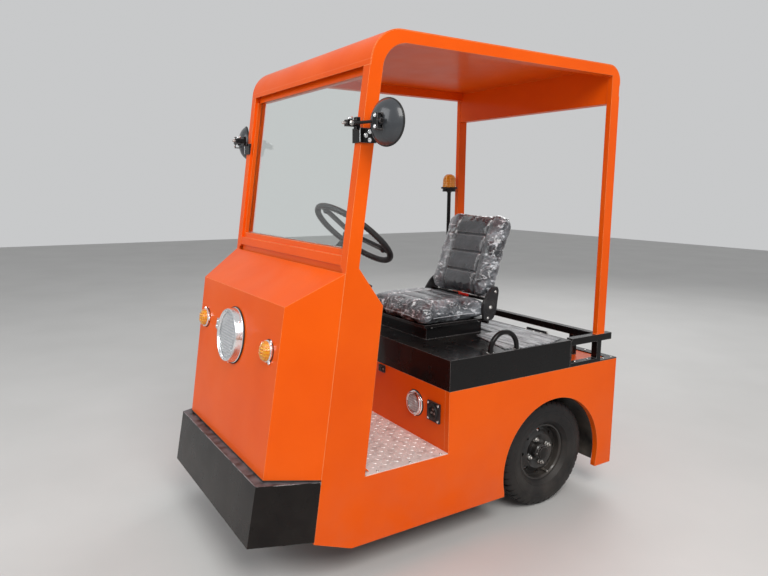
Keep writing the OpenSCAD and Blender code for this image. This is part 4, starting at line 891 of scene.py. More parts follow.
def mirror_dishes():
    """The mirrors' round housings, pressed from one smooth dish with a rolled rim."""
    dish = Piece("mirror_dishes", "chassis", "black_plastic", "mirror_shell")
    profile = [(0, -6), (11.8, -6), (13, -4.8), (13, 0), (20, 0.4), (30, 2.4), (40, 5.4), (49, 9.4),
               (57, 14.4), (63, 19.6), (68, 25.2), (71.2, 29.8), (72.8, 33), (73, 34.8), (72.2, 35.8),
               (71.2, 35.8), (71.1, 30), (0, 30)]
    for side in SIDES:
        dish.use("mirror_shell").lathe(profile, mirror_head(side), 96)
    dish.done("mirror_heads")


def mirrors():
    """Straps and screws on the mirrors' backs, the clamps' bolts and the arms' knobs."""
    trim = Piece("mirror_fittings", "chassis", "black_enamel", "bright_metal", "steel", "black_rubber")
    for side in SIDES:
        head = mirror_head(side)
        lip = [(71.4, 30), (73.4, 30.8), (74.2, 33.5), (73.4, 36.2), (71.4, 36.6)]
        trim.use("black_rubber").ring(lip, head, 96)
        trim.use("black_enamel")
        trim.block((30, 52, 3.5), head @ move(0, 0, 1.8), 1)
        trim.block((22, 50, 3.5), head @ move(0, 0, -18.2), 1)
        for end in SIDES:
            trim.block((22, 3.5, 22), head @ move(0, end * 23.5, -8.5), 0.8)
            trim.use("bright_metal").bolt(head @ aim((0, end * 16.5, -19.8), (0, 0, -1)), 4.2)
            trim.block((3, 48, 2.8), head @ move(end * 15, 0, 4.2), 0.6)
            trim.use("black_enamel")
        arm_end = head @ Vector((side * 14, 0, -11.3))
        trim.lathe([(0, 0), (7.5, 0), (8.5, 2), (8.5, 9), (7, 11), (0, 11)], aim(arm_end, (side, 0, 0)), 24)
        trim.use("bright_metal")
        for y, z in ((34, 12), (20, 0), (34, -14)):
            trim.bolt(aim((side * CLAMP_OUT, CLAMP_Y + y, CLAMP_Z + z), (side, 0, 0)), 5.2)
        trim.block((3, 2.6, 42), move(side * (CLAMP_OUT - 0.8), CLAMP_Y - 0.8, CLAMP_Z), 0.8)
        knob = [(0, 0), (6, 0), (8.5, 3), (8.5, 7.5), (5.5, 11), (0, 11.8)]
        trim.lathe(knob, move(side * 495, CLAMP_Y - 30, MIRROR_Z + 10), 24)
        trim.use("steel").bolt(aim((side * 504, CLAMP_Y - 30, MIRROR_Z), (side, 0, 0)), 6.2)
        stud = [(0, 0), (4.2, 0), (4.2, 12), (3.4, 13.2), (0, 13.2)]
        trim.lathe(stud, aim((side * 495, CLAMP_Y - 46.8, MIRROR_Z), (0, -1, 0)), 14)
    trim.done()


def glass_bead():
    """The thin pale bead along the lower edge of the pane."""
    bead = Piece("windscreen_bead", "chassis", "gauge_face")
    z = 1159
    y = pillar_y(z) + SCREEN_IN - 0.8
    bead.tube([(t * (SCREEN_HALF - 2), y, z + 0.4 * math.sin(9 * t)) for t in spread(41)], 1.3, sides=8)
    bead.done()
    strip = Piece("nose_rubber_strip", "chassis", "black_rubber")
    path = [(-496.5, -668, 396.5), (-399.5, -830, 396.5), (399.5, -830, 396.5), (496.5, -668, 396.5)]
    strip.tube(path, 3.2)
    strip.done()


floor_treads()
pedals()
dashboard()
steering_wheel()
mirror_dishes()
mirrors()
glass_bead()


# Body: weld beads, plugs, hinge leaves, screws and what lies under the lid
DECK_Z, LID_Z, RAIL_LOW, RAIL_TOP = 611, 731, 705, 735
RAIL_IN, RAIL_OUT, RAIL_MID, RAIL_END = 470, 500, 485, 774
POST_Y, POST_REAR, CROSS_Y, CROSS_REAR = 683, 710, 691, 721
CROSS_POST_X, CROSS_POST_HALF, CROSS_POST_Y = 345, 12, 694
PILLAR_IN, PILLAR_Y, PILLAR_REAR = 476, 677, 725
HINGE_X, HINGE_Y, HINGE_Z = 300, 519, 733
HANDLE_X, HANDLE_Y, HANDLE_REACH, HANDLE_R = 490, 138, 69, 10
BATTERY_HALF, BATTERY_FRONT, BATTERY_REAR, BATTERY_TOP = 290, -110, 430, 582


def rails():
    """Welds and plugs of the square tube rails, and the screws of the deck's edging."""
    work = Piece("rail_welds_and_plugs", "chassis", "black_enamel", "black_plastic", "steel")
    for side in SIDES:
        work.use("black_enamel")
        inner, outer = side * RAIL_IN, side * RAIL_OUT
        for y in (POST_Y, POST_REAR):
            work.weld((inner, y, RAIL_LOW), (outer, y, RAIL_LOW), 3)
        work.weld((inner, POST_REAR, DECK_Z + 5), (outer, POST_REAR, DECK_Z + 5), 3)
        work.weld((inner, POST_Y, DECK_Z + 17), (outer, POST_Y, DECK_Z + 17), 3)
        work.weld((inner, POST_Y + 4, DECK_Z), (inner, POST_REAR, DECK_Z), 3)
        work.weld((inner, POST_Y, RAIL_LOW), (inner, POST_REAR, RAIL_LOW), 2.6)
        work.weld((inner, CROSS_Y, RAIL_TOP), (inner, CROSS_REAR, RAIL_TOP), 2.6)
        for y in (CROSS_Y, CROSS_REAR):
            work.weld((inner, y, RAIL_LOW), (inner, y, RAIL_TOP), 2.8)
        post, bead = side * CROSS_POST_X, CROSS_POST_HALF - 0.001
        for y in (CROSS_POST_Y, CROSS_POST_Y + 2 * CROSS_POST_HALF):
            for z, size in ((DECK_Z, 3.2), (RAIL_LOW, 2.6)):
                work.weld((post - bead, y, z), (post + bead, y, z), size)
        for end in SIDES:
            x = post + end * CROSS_POST_HALF
            work.weld((x, CROSS_POST_Y, DECK_Z), (x, CROSS_POST_Y + 2 * bead, DECK_Z), 3.2)
        work.weld((inner, HINGE_Y + 8, RAIL_LOW), (inner, HINGE_Y + 8, RAIL_TOP - 4), 2.6)
        plug = move(side * RAIL_MID, RAIL_END, RAIL_TOP - 15)
        work.use("black_plastic").block((28.5, 3.6, 28.5), plug @ move(0, 1.2, 0), 1.2)
        work.block((19, 2, 19), plug @ move(0, 3.6, 0), 0.8)
        work.use("steel")
        for y in (560, 640, 745, 800):
            work.screw(move(side * RAIL_MID, y, DECK_Z + (17 if y < POST_Y else 5)), 4.8)
    for x in spread(5, -340, 340):
        work.screw(move(x, 800, DECK_Z + 5), 4.8)
    work.done()
    feet = Piece("pillar_foot_welds", "chassis", "body_orange")
    for side in SIDES:
        inner, outer = side * PILLAR_IN, side * (RAIL_OUT - 1)
        feet.weld((inner, PILLAR_Y, RAIL_TOP), (inner, PILLAR_REAR, RAIL_TOP), 3)
        for y in (PILLAR_Y, PILLAR_REAR):
            feet.weld((inner, y, RAIL_TOP), (outer, y, RAIL_TOP), 3)
    feet.done()


def lid():
    """Hinge leaves and screws, welded handle feet and the catch's fixings."""
    trim = Piece("lid_fittings", "battery_lid", "black_enamel", "steel")
    for side in SIDES:
        leaf = move(side * HINGE_X, 497.5, LID_Z + 0.9)
        trim.use("black_enamel").block((118, 22.5, 2.2), leaf, 0.7)
        for x in (-45, 0, 45):
            trim.use("steel").screw(move(side * HINGE_X + x, 496, LID_Z + 1.8), 4.2)
        for end in SIDES:
            foot = Vector((side * HANDLE_X, HANDLE_Y + end * HANDLE_REACH, LID_Z + 0.8))
            start = 62 if side > 0 else -118
            arc = [foot + turned(HANDLE_R + 0.6, start + i * 236 / 26) for i in range(27)]
            sizes = [2.6 + 0.7 * math.sin(i * 2.3) * math.sin(i * 0.9 + end) for i in range(27)]
            trim.tube(arc, sizes, sides=7)
            for x, y in ((-side * 16.5, end * 4), (-side * 10, -end * 13.5)):
                trim.lathe([(0, -0.6), (2, 0), (1.4, 1.2), (0, 1.6)], move(*foot) @ move(x, y, 0), 10)
    trim.use("black_enamel")
    for side in SIDES:
        trim.weld((side * 184, -12, LID_Z), (side * 184, 290, LID_Z), 2.6)
    trim.weld((-184, -12, LID_Z), (184, -12, LID_Z), 2.6)
    trim.use("steel")
    for x in (-150, 150):
        for y in (10, 268):
            trim.bolt(aim((x + math.copysign(41, x), y, 784), (0, 0, -1)), 5.5)
    trim.done()
    catch = Piece("catch_and_hinge_fixings", "chassis", "bright_metal", "black_enamel", "steel")
    for x in (23.5, 56.5):
        catch.use("bright_metal").screw(aim((x, -142, 592), (0, -1, 0)), 3)
    catch.use("black_enamel")
    for side in SIDES:
        for end in SIDES:
            head = aim((side * HINGE_X + end * 60, HINGE_Y, HINGE_Z), (end, 0, 0))
            catch.use("steel").lathe([(0, -0.2), (4.6, 0), (4.8, 1.2), (3.4, 2.4), (0, 2.8)], head, 20)
        for i in range(3):
            ring = aim((side * HINGE_X - 50 + i * 40, HINGE_Y, HINGE_Z), (1, 0, 0))
            catch.use("black_enamel").ring([(5.8, 0), (6.6, 0.6), (6.6, 19.4), (5.8, 20)], ring, 24)
    catch.done()


def batteries():
    """Cell caps, bridging bars, edges of the cells and terminals on the battery block."""
    top = Piece("battery_caps_and_bars", "chassis", "battery_case", "steel", "red_plastic", "black_plastic")
    columns, rows = 4, 6
    wide, deep = 2 * BATTERY_HALF / columns, (BATTERY_REAR - BATTERY_FRONT) / rows
    for i in range(columns):
        for j in range(rows):
            x, y = -BATTERY_HALF + (i + 0.5) * wide, BATTERY_FRONT + (j + 0.5) * deep
            cell = move(x, y, BATTERY_TOP + 0.9)
            top.use("battery_case").block((wide - 4, deep - 4, 2.2), cell, 1)
            cap = [(0, 0), (16.5, 0), (16.5, 1.6), (14, 2.2), (13.2, 8.8), (11.2, 10.4), (6, 10.4),
                   (4.8, 8.8), (0, 8.8)]
            top.use("black_plastic").lathe(cap, move(x, y, BATTERY_TOP + 2), 20)
            for end in SIDES:
                post = move(x + end * 42, y, BATTERY_TOP + 2)
                top.use("steel").lathe([(0, 0), (8.5, 0), (8, 7), (5, 8), (0, 8)], post, 18)
            if j < rows - 1:
                end = 1 if (i + j) % 2 else -1
                bar = move(x + end * 42, y + deep / 2, BATTERY_TOP + 9.5)
                top.block((15, deep + 16, 5), bar, 1.4)
                top.screw(move(x + end * 42, y, BATTERY_TOP + 12), 5)
    for x, name in ((-247.5, "red_plastic"), (247.5, "black_plastic")):
        boot = move(x, BATTERY_FRONT + 22, BATTERY_TOP + 10)
        top.use(name).block((30, 28, 18), boot, 4)
    strap = move(0, (BATTERY_FRONT + BATTERY_REAR) / 2, BATTERY_TOP + 3)
    top.use("steel").block((2 * BATTERY_HALF + 4, 12, 2.6), strap, 0.8)
    top.done()


rails()
lid()
batteries()


# Underside: axle, springs, motor, fork, steering gearbox and towing jaw
AXLE_Y, AXLE_Z, CLAMP_R = REAR_WHEEL.y, REAR_WHEEL.z, 40.5
SPRING_X, SPRING_TOP, LEAF_LOW = 250, 294, 286
MOTOR_Y, MOTOR_END, MOTOR_R = 492, 722, 72
FORK_Y, FORK_ARM_OUT, CROWN_LOW = -630, 72, 398
HITCH_EDGES = (280, 360)


def rear_axle():
    """Bolts that hold the springs, brake plates, the differential's cover and drain."""
    work = Piece("axle_fittings", "chassis", "chassis_black", "steel")
    for side in SIDES:
        for end in SIDES:
            x = side * SPRING_X + end * 33.5
            clamp = [turned(CLAMP_R, 180 + a) for a in range(0, 181, 15)]
            clamp = [(x, AXLE_Y + p.x, AXLE_Z + p.y) for p in clamp]
            ends = [(x, AXLE_Y + way * CLAMP_R, SPRING_TOP + 22) for way in SIDES]
            work.use("steel").tube([ends[0], *clamp, ends[1]], 5)
            for way in SIDES:
                work.bolt(move(x, AXLE_Y + way * CLAMP_R, SPRING_TOP + 5.5), 9.5, 8.5)
        plate = move(side * SPRING_X, AXLE_Y, SPRING_TOP + 2.7)
        work.use("chassis_black").block((92, 106, 5.2), plate, 1)
        for end in SIDES:
            work.use("steel").bolt(aim((side * SPRING_X, AXLE_Y + end * 155, LEAF_LOW), (0, 0, -1)), 8)
            clip = move(side * SPRING_X, AXLE_Y + end * 105, LEAF_LOW)
            work.use("chassis_black").block((56, 14, 19.5), clip, 1.4)
        drum = aim((side * 311.8, AXLE_Y, AXLE_Z), (-side, 0, 0))
        work.use("chassis_black").ring([(34.5, 0), (34.5, 14), (46, 10), (50, 0)], drum, 32)
        work.ring([(84, 0), (84, 3.4), (91.5, 3), (91.8, 0)], drum, 48)
        for at in around(drum, 6, 66, 0, 30):
            work.use("steel").bolt(at, 5.8)
        flange = aim((side * 74.5, AXLE_Y, AXLE_Z), (side, 0, 0))
        disc = [(0, 0), (71, 0), (71, 9), (66, 11), (50, 13), (36, 30), (0, 30)]
        work.use("chassis_black").lathe(disc, flange, 40)
        for at in around(flange, 8, 63.5, 10):
            work.use("steel").bolt(at, 4.6)
    cover = aim((0, AXLE_Y - 60, AXLE_Z), (0, -1, 0))
    dome = [(0, -10), (55, -10), (55, 6), (48, 8), (40, 16), (22, 21), (0, 22)]
    work.use("chassis_black").lathe(dome, cover, 40)
    for at in around(cover, 6, 50, 6.8):
        work.use("steel").bolt(at, 4)
    work.bolt(aim((0, AXLE_Y, AXLE_Z - 61.5), (0, 0, -1)), 8.5)
    work.done()


def motor():
    """Cooling fins, end shields with their bolts and the terminal box."""
    work = Piece("motor_fittings", "chassis", "chassis_black", "steel", "black_plastic")
    for i in range(13):
        ring = aim((0, MOTOR_Y + 42 + i * 12, AXLE_Z), (0, 1, 0))
        work.ring([(MOTOR_R - 1, 0), (MOTOR_R + 7, 0.6), (MOTOR_R + 7, 3), (MOTOR_R - 1, 4.2)], ring, 48)
    for y, way in ((MOTOR_Y + 26, -1), (MOTOR_END - 28, 1)):
        shield = aim((0, y, AXLE_Z), (0, way, 0))
        rim = [(MOTOR_R + r, z) for r, z in ((-1, 0), (8.5, 1), (8.5, 14), (4, 18), (-1, 18))]
        work.use("chassis_black").ring(rim, shield, 48)
        for at in around(shield, 4, MOTOR_R + 3.5, 16.8, 45):
            work.use("steel").bolt(at, 4.2)
    back = aim((0, MOTOR_END - 1, AXLE_Z), (0, 1, 0))
    work.use("chassis_black").lathe([(0, 0), (58, 0), (55, 4), (30, 5.5), (26, 9), (0, 9.5)], back, 40)
    work.use("black_plastic")
    work.block((30, 74, 56), move(MOTOR_R + 11, MOTOR_Y + 110, AXLE_Z), 3)
    work.block((6, 70, 52), move(MOTOR_R + 28, MOTOR_Y + 110, AXLE_Z), 2)
    for y, z in itertools.product((-29, 29), (-20, 20)):
        spot = (MOTOR_R + 30.8, MOTOR_Y + 110 + y, AXLE_Z + z)
        work.use("steel").screw(aim(spot, (1, 0, 0)), 3.2)
    work.done()


def fork():
    """Axle nuts, thrust washer and welds on the fork, and the bolts of the steering gearbox."""
    work = Piece("fork_fittings", "front_fork", "chassis_black", "steel")
    for side in SIDES:
        end = aim((side * (FORK_ARM_OUT + 0.5), FRONT_WHEEL.y, FRONT_WHEEL.z), (side, 0, 0))
        work.use("steel").bolt(end, 15, 9.5)
        work.lathe([(0, 11.5), (8.5, 12), (8.5, 16), (7.2, 17.2), (0, 17.2)], end, 18)
        x = side * FORK_ARM_OUT
        work.use("chassis_black").weld((x, FORK_Y - 43, CROWN_LOW), (x, FORK_Y + 43, CROWN_LOW), 3.4)
        boss = aim((side * (FORK_ARM_OUT - 0.2), FRONT_WHEEL.y, FRONT_WHEEL.z), (side, 0, 0))
        work.ring([(20.5, 0), (20.5, 2.2), (24.5, 1.8), (25.2, 0)], boss, 36)
    work.done()
    box = Piece("gearbox_fittings", "chassis", "chassis_black", "steel")
    cover = [(0, -1), (40, 0), (40, 5), (36, 6.8), (22, 6.8), (18, 11), (0, 11.5)]
    for x, y in ((0, -1), (1, 0), (-1, 0)):
        face = aim((50 * x, FORK_Y + 50 * y, 712), (x, y, 0))
        box.use("chassis_black").lathe(cover, face, 36)
        for at in around(face, 6, 32.5, 6):
            box.use("steel").bolt(at, 3.8)
    box.done()


def hitch():
    """Bolts of the towing jaw's back plate and welds along its jaws."""
    work = Piece("hitch_fittings", "chassis", "black_enamel", "steel")
    for x, z in itertools.product((-63.5, 63.5), (268, 320, 372)):
        work.use("steel").bolt(aim((x, 832, z), (0, 1, 0)), 8.5)
    for z in HITCH_EDGES:
        work.use("black_enamel").weld((-54, 832.5, z), (54, 832.5, z), 3.4)
    work.done()


rear_axle()
motor()
fork()
hitch()


# Seat: covers stuffed by cloth simulation, then sewn, under a tight clear film
BACK_FRAME = move(0, 0.276, 0.896) @ spun(-19, "X")
BACK_HALF, BACK_TALL, BACK_THICK, BACK_CORNER = 0.192, 0.372, 0.088, 0.066
CUSHION_HALF, CUSHION_FRONT, CUSHION_REAR = 0.2075, -0.0475, 0.2975
CUSHION_LOW, CUSHION_TOP = 0.7966, 0.8835
PANEL_HALF, BACK_SEAMS, CUSHION_SEAMS = 0.104, (0.100, 0.190, 0.272), (0.050, 0.135, 0.215)
VOXEL, SWELL_FRAMES, FILLING = 0.005, 20, 4.0


def eased(value, low, high):
    """0 up to low, 1 from high on, and a smooth rise between them."""
    t = min(max((value - low) / (high - low), 0.0), 1.0)
    return t * t * (3 - 2 * t)


def crumple(at, size, sharp=5):
    """Folds of a tight film: thin ridges where a twisted noise crosses its middle."""
    warp = noise.noise_vector(at / (size * 2.2)) * 0.8
    wide = 1 - abs(noise.noise(at / size + warp))
    fine = 1 - abs(noise.noise(at * (2.4 / size) - warp * 1.2 + Vector((7, 3, 1))))
    return 0.72 * wide ** sharp + 0.28 * fine ** sharp


def padded_block(name, outline, low, high, place):
    """A closed pad: an outline of (x, y) points, drawn in at both faces, as a start for the filling."""
    rings = []
    centre = middle_of(outline)
    for share, inset in ((0, 0.022), (0.1, 0.008), (0.3, 0.002), (0.7, 0.002), (0.9, 0.008), (1, 0.022)):
        ring = []
        for x, y in outline:
            inward = (centre - Vector((x, y))).normalized()
            ring.append(place(x + inward.x * inset, y + inward.y * inset, low + (high - low) * share))
        rings.append(ring)
    mesh = bpy.data.meshes.new(name)
    mesh.from_pydata([p for ring in rings for p in ring], [], tower(len(outline), len(rings)))
    mesh.validate()
    clean = bmesh.new()
    clean.from_mesh(mesh)
    bmesh.ops.recalc_face_normals(clean, faces=clean.faces)
    clean.to_mesh(mesh)
    clean.free()
    return link(name, mesh)


def round_outline(half, low, high, low_corner, high_corner, steps=10):
    """A rectangle with round corners, from x -half to half and y low to high."""
    points = []
    corners = ((half, high, high_corner, 0), (-half, high, high_corner, 90), (-half, low, low_corner, 180),
        (half, low, low_corner, 270))
    for x, y, r, turn in corners:
        cx, cy = x - math.copysign(r, x), y - (r if y == high else -r)
        for step in range(steps + 1):
            angle = math.radians(turn + 90 * step / steps)
            points.append((cx + r * math.cos(angle), cy + r * math.sin(angle)))
    return points


def keep(pad):
    """Applies the pad's modifiers."""
    shaped = bpy.data.meshes.new_from_object(pad.evaluated_get(bpy.context.evaluated_depsgraph_get()))
    pad.modifiers.clear()
    pad.data = shaped


def swell(pad, reach):
    """Remeshes a pad evenly and lets its filling press the cover out, by no more than the reach."""
    even = pad.modifiers.new("even", "REMESH")
    even.mode, even.voxel_size = "VOXEL", VOXEL
    keep(pad)
    start = [vertex.co.copy() for vertex in pad.data.vertices]
    cover = pad.modifiers.new("cover", "CLOTH").settings
    cover.quality, cover.mass = 6, 0.25
    cover.tension_stiffness = cover.compression_stiffness = 18
    cover.bending_stiffness = 0.6
    cover.use_pressure, cover.uniform_pressure_force = True, FILLING
    cover.effector_weights.gravity = 0
    for step in range(1, SWELL_FRAMES + 1):
        bpy.context.scene.frame_set(step)
    keep(pad)
    bpy.context.scene.frame_set(1)
    for vertex, old in zip(pad.data.vertices, start):
        shift = vertex.co - old
        if shift.length > reach:
            vertex.co = old + shift * (reach / shift.length)
    smooth = pad.modifiers.new("smooth", "SUBSURF")
    smooth.levels = smooth.render_levels = 1
    keep(pad)


def fit(pad, low, high):
    """Stretches the swollen pad to the two corners of the space that its solid holds."""
    for axis in range(3):
        values = [vertex.co[axis] for vertex in pad.data.vertices]
        least, most = min(values), max(values)
        gain = (high[axis] - low[axis]) / (most - least)
        for vertex in pad.data.vertices:
            vertex.co[axis] = low[axis] + (vertex.co[axis] - least) * gain


def straighten(pad, axes, half, low, high, corner, share, bands=40):
    """Brings the outline back, by a share, from the filling's pull to a rectangle with round corners."""
    def drawn_in(distance):
        short = corner - min(max(distance, 0.0), corner)
        return corner - math.sqrt(corner ** 2 - short ** 2)

    across, along = axes
    points = [vertex.co for vertex in pad.data.vertices]
    for main, cross in ((across, along), (along, across)):
        first = min(p[main] for p in points)
        width = (max(p[main] for p in points) - first) / bands
        least, most = [1e9] * bands, [-1e9] * bands
        for p in points:
            band = min(int((p[main] - first) / width), bands - 1)
            least[band], most[band] = min(least[band], p[cross]), max(most[band], p[cross])
        for p in points:
            spot = min(max((p[main] - first) / width - 0.5, 0.0), bands - 1.001)
            band, part = int(spot), spot - int(spot)
            lower = least[band] * (1 - part) + least[band + 1] * part
            upper = most[band] * (1 - part) + most[band + 1] * part
            if main == across:
                reach = drawn_in(half - abs(p[main]))
                target_low, target_high = low + reach, high - reach
            else:
                reach = drawn_in(min(p[main] - low, high - p[main]))
                target_low, target_high = -half + reach, half - reach
            wanted = target_low + (p[cross] - lower) / (upper - lower) * (target_high - target_low)
            p[cross] += (wanted - p[cross]) * share
    pad.data.update()


def sew(pad, axis, sign, seams, along, outer, panel=PANEL_HALF):
    """Presses the seams of the centre panel into one face and puffs the fields between them."""
    mesh = pad.data
    normals = [vertex.normal.copy() for vertex in mesh.vertices]
    for vertex, normal in zip(mesh.vertices, normals):
        facing = eased(normal[axis] * sign, 0.30, 0.75)
        if facing <= 0:
            continue
        side, place = abs(vertex.co.x) - panel, vertex.co[along]
        lift = 0.0
        if side > 0:
            lift += outer * math.sin(min(side / 0.05, 1) * math.pi / 2)
        else:
            reach = min(abs(place - seam) for seam in seams)
            lift += 0.005 * min(reach / 0.028, 1) ** 0.6 * min(-side / 0.02, 1) ** 0.6
            lift -= 0.007 * math.exp(-(reach / 0.0045) ** 2)
        lift -= 0.009 * math.exp(-(side / 0.0055) ** 2)
        vertex.co[axis] += sign * lift * facing


def wrap(pad, depth_at, seed):
    """Crumples the tight film: depth_at gives the folds' height at a point and its normal."""
    mesh = pad.data
    normals = [vertex.normal.copy() for vertex in mesh.vertices]
    for vertex, normal in zip(mesh.vertices, normals):
        at = vertex.co + Vector((seed, 0, 0))
        fold = crumple(at, 0.046) + 0.35 * crumple(at * 1.0 + Vector((0, seed, 0)), 0.019, 4)
        vertex.co += normal * (depth_at(vertex.co, normal) * (fold - 0.25))


def finish_pad(pad, node):
    pad.data.polygons.foreach_set("use_smooth", [True] * len(pad.data.polygons))
    pad.data.materials.clear()
    pad.data.materials.append(looks["cushion_vinyl"])
    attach(pad, "battery_lid")
    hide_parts(node)


def make_back():
    outline = round_outline(BACK_HALF - 0.010, 0.008, BACK_TALL - 0.008, 0.030, BACK_CORNER)
    back = padded_block("seat_back_cover", outline, 0.010, BACK_THICK - 0.010,
                        lambda x, z, y: Vector((x, y, z)))
    swell(back, 0.022)
    fit(back, (-BACK_HALF, 0.006, 0.0), (BACK_HALF, BACK_THICK - 0.001, BACK_TALL))
    straighten(back, (0, 2), BACK_HALF, 0.0, BACK_TALL, 0.050, 0.85)
    for vertex in back.data.vertices:
        if vertex.co.y > 0.04:
            vertex.co.y -= 0.25 * max(vertex.co.y - 0.070, 0)
    sew(back, 1, -1, BACK_SEAMS, 2, 0.013)

    def depth_at(at, normal):
        outer = eased(abs(at.x), PANEL_HALF - 0.01, PANEL_HALF + 0.03)
        top = eased(at.z, BACK_TALL - 0.05, BACK_TALL - 0.01)
        return 0.0009 + 0.0026 * outer + 0.0014 * top

    wrap(back, depth_at, 3.0)
    for vertex in back.data.vertices:
        vertex.co = BACK_FRAME @ vertex.co
    finish_pad(back, "seat_back")


def make_cushion():
    outline = round_outline(CUSHION_HALF - 0.010, CUSHION_FRONT + 0.010, CUSHION_REAR - 0.010, 0.045, 0.035)
    cushion = padded_block("seat_cushion_cover", outline, CUSHION_LOW + 0.004, CUSHION_TOP - 0.012,
                           lambda x, y, z: Vector((x, y, z)))
    swell(cushion, 0.022)
    fit(cushion, (-CUSHION_HALF, CUSHION_FRONT, CUSHION_LOW - 0.010),
        (CUSHION_HALF, CUSHION_REAR, CUSHION_TOP - 0.002))
    straighten(cushion, (0, 1), CUSHION_HALF, CUSHION_FRONT, CUSHION_REAR, 0.030, 0.75)
    sew(cushion, 2, 1, CUSHION_SEAMS, 1, 0.007)

    def depth_at(at, normal):
        front = eased(-at.y, -0.060, 0.020)
        rim = eased(abs(at.x), 0.13, 0.19)
        side = 1 - eased(abs(normal.z), 0.3, 0.8)
        return 0.0013 + 0.0032 * front + 0.0012 * rim + 0.0008 * side

    wrap(cushion, depth_at, 11.0)
    for vertex in cushion.data.vertices:
        vertex.co.z = max(vertex.co.z, CUSHION_LOW)
        vertex.co.y = min(vertex.co.y, CUSHION_REAR + 0.001)
        if vertex.co.y > 0.20:
            vertex.co.x = min(max(vertex.co.x, -CUSHION_HALF), CUSHION_HALF)
    finish_pad(cushion, "seat_cushion")
    return cushion


def make_hem(cushion):
    """The film's taped edge, laid on the cushion's own front and sides."""
    tree = BVHTree.FromObject(cushion, bpy.context.evaluated_depsgraph_get())
    hem = Piece("seat_film_hem", "battery_lid", "wrap_film")
    path = []
    for t in spread(81):
        if abs(t) > 0.55:
            start = Vector((math.copysign(0.30, t), CUSHION_FRONT + 0.045 + (abs(t) - 0.55) * 0.50, 0))
            way = Vector((-math.copysign(1, t), 0, 0))
        else:
            start = Vector((t / 0.55 * (CUSHION_HALF - 0.028), -0.20, 0))
            way = Vector((0, 1, 0))
        start.z = 0.8235 + 0.0035 * noise.noise(Vector((t * 5, 2, 0))) + 0.006 * max(abs(t) - 0.8, 0)
        hit = tree.ray_cast(start, way, 0.4)[0]
        if hit:
            path.append((hit - way * 0.0004) / METRES)
    hem.tube(path, 2.2, sides=8)
    hem.done()


def make_hinges():
    """Rounded side covers over the backrest's hinges, with the bars behind the cushion."""
    covers = Piece("seat_hinge_covers", "battery_lid", "black_plastic", "black_enamel", "steel")
    y, z = 304, 846
    outline = [(-30, -62), (20, -62), (41, -20), (43, 12), (54, 88), (12, 90), (-34, 28), (-41, 0),
               (-37, -30)]
    for _ in range(3):
        finer = []
        for (y0, z0), (y1, z1) in zip(outline, outline[1:] + outline[:1]):
            finer += [(y0 + (y1 - y0) * t, z0 + (z1 - z0) * t) for t in (0.22, 0.78)]
        outline = finer
    for side in SIDES:
        turn = Matrix(((0, 0, side, 0), (side, 0, 0, 0), (0, 1, 0, 0), (0, 0, 0, 1)))
        flat = [(side * py, pz) for py, pz in outline]
        at = move(side * 209, y, z) @ turn
        covers.use("black_plastic").prism(flat if side > 0 else flat[::-1], 12.5, at, 4)
        face = aim((side * 221.2, y, z), (side, 0, 0))
        covers.lathe([(0, -1), (31, 0), (24, 2.8), (12, 3.8), (0, 4)], face, 48)
        covers.ring([(31.5, 0), (33.5, 1.4), (35.5, 0)], face, 48)
        covers.use("steel").bolt(aim((side * 225, y, z), (side, 0, 0)), 6.5)
        covers.bolt(aim((side * 221.2, y + 30, z + 66), (side, 0, 0)), 4.5)
        covers.bolt(aim((side * 221.2, y - 10, z - 47), (side, 0, 0)), 4.5)
    covers.use("black_enamel")
    covers.block((420, 8, 24), move(0, 308.3, 782), 1.2)
    covers.block((420, 8, 13.3), move(0, 314, 874.65), 1.2)
    covers.done("seat_recliners")
    belt = Piece("seat_belt_buckle", "battery_lid", "black_rubber", "red_plastic", "bright_metal")
    x = 40
    belt.use("red_plastic").block((68, 7.5, 12.5), move(x, 304, 878.5), 2)
    belt.block((30, 2.4, 7), move(x, 299.8, 880), 0.9)
    belt.use("black_rubber").block((46, 4, 20), move(x, 306.2, 864), 1.2)
    belt.use("bright_metal").block((50, 1.4, 3), move(x, 301, 870), 0.5)
    belt.done()


# Fixes the start of noise_vector, which the clock would set, so that each run folds the film alike
noise.seed_set(1)
make_back()
make_hem(make_cushion())
make_hinges()


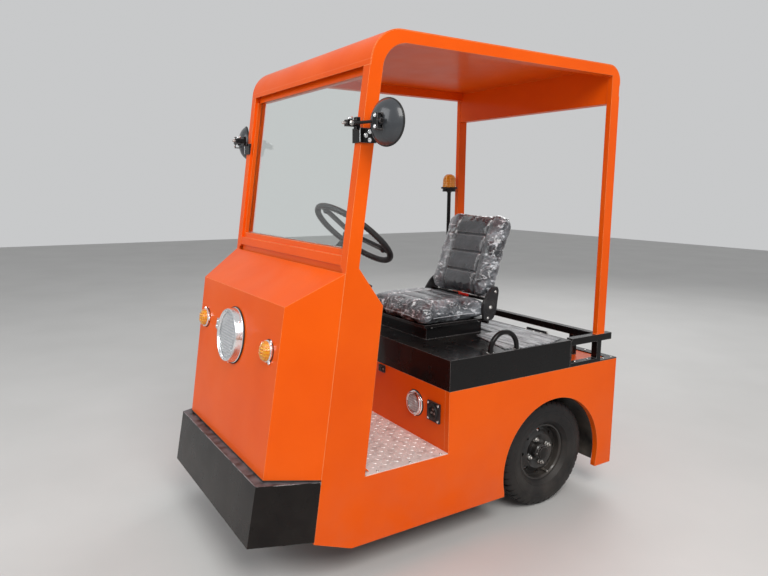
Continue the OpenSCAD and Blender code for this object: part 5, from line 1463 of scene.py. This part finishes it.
# Floor, lamps and world
FLOOR_REACH = 14.0


def stage_and_light():
    mesh = bpy.data.meshes.new("floor")
    mesh.from_pydata([(x, y, 0) for x, y in ((-1, -1), (1, -1), (1, 1), (-1, 1))], [], [(0, 1, 2, 3)])
    mesh.transform(Matrix.Scale(FLOOR_REACH, 4))
    floor = link("floor", mesh)
    look = Look("floor_grey", (0.60, 0.595, 0.585), 0.55)
    look.tint(look.patches(1.3, 5, 0.35, 0.8), (0.55, 0.545, 0.535)).bump(look.noise(60, 5), 0.001, 0.3)
    floor.data.materials.append(look.done())
    for name, at, size, power, tint in (
        ("key", (4.2, -1.2, 4.6), 3.0, 230, (1.0, 0.985, 0.96)),
        ("front", (-0.8, -5.2, 3.4), 3.2, 110, (0.97, 0.985, 1.0)),
        ("back", (-2.5, 4.5, 4.4), 3.5, 120, (1.0, 1.0, 1.0)),
    ):
        data = bpy.data.lights.new(name, "AREA")
        data.size, data.energy, data.color = size, power, tint
        lamp = link(name, data)
        lamp.location = at
        lamp.rotation_euler = (Vector((0, 0, 0.7)) - Vector(at)).to_track_quat("-Z", "Y").to_euler()
    world = bpy.data.worlds.new("world")
    world.use_nodes = True
    bpy.context.scene.world = world
    tree = world.node_tree
    sky = tree.nodes["Background"]
    sky.inputs["Color"].default_value = (0.93, 0.94, 0.95, 1)
    paths = tree.nodes.new("ShaderNodeLightPath")
    seen = paths.outputs["Is Camera Ray"]
    for other in ("Is Glossy Ray", "Is Transmission Ray"):
        either = tree.nodes.new("ShaderNodeMath")
        either.operation = "MAXIMUM"
        tree.links.new(seen, either.inputs[0])
        tree.links.new(paths.outputs[other], either.inputs[1])
        seen = either.outputs[0]
    lift = tree.nodes.new("ShaderNodeMapRange")
    tree.links.new(seen, lift.inputs["Value"])
    lift.inputs["To Min"].default_value = 0.42
    lift.inputs["To Max"].default_value = 0.62
    tree.links.new(lift.outputs[0], sky.inputs["Strength"])
    bpy.context.scene.view_settings.view_transform = "Standard"


stage_and_light()
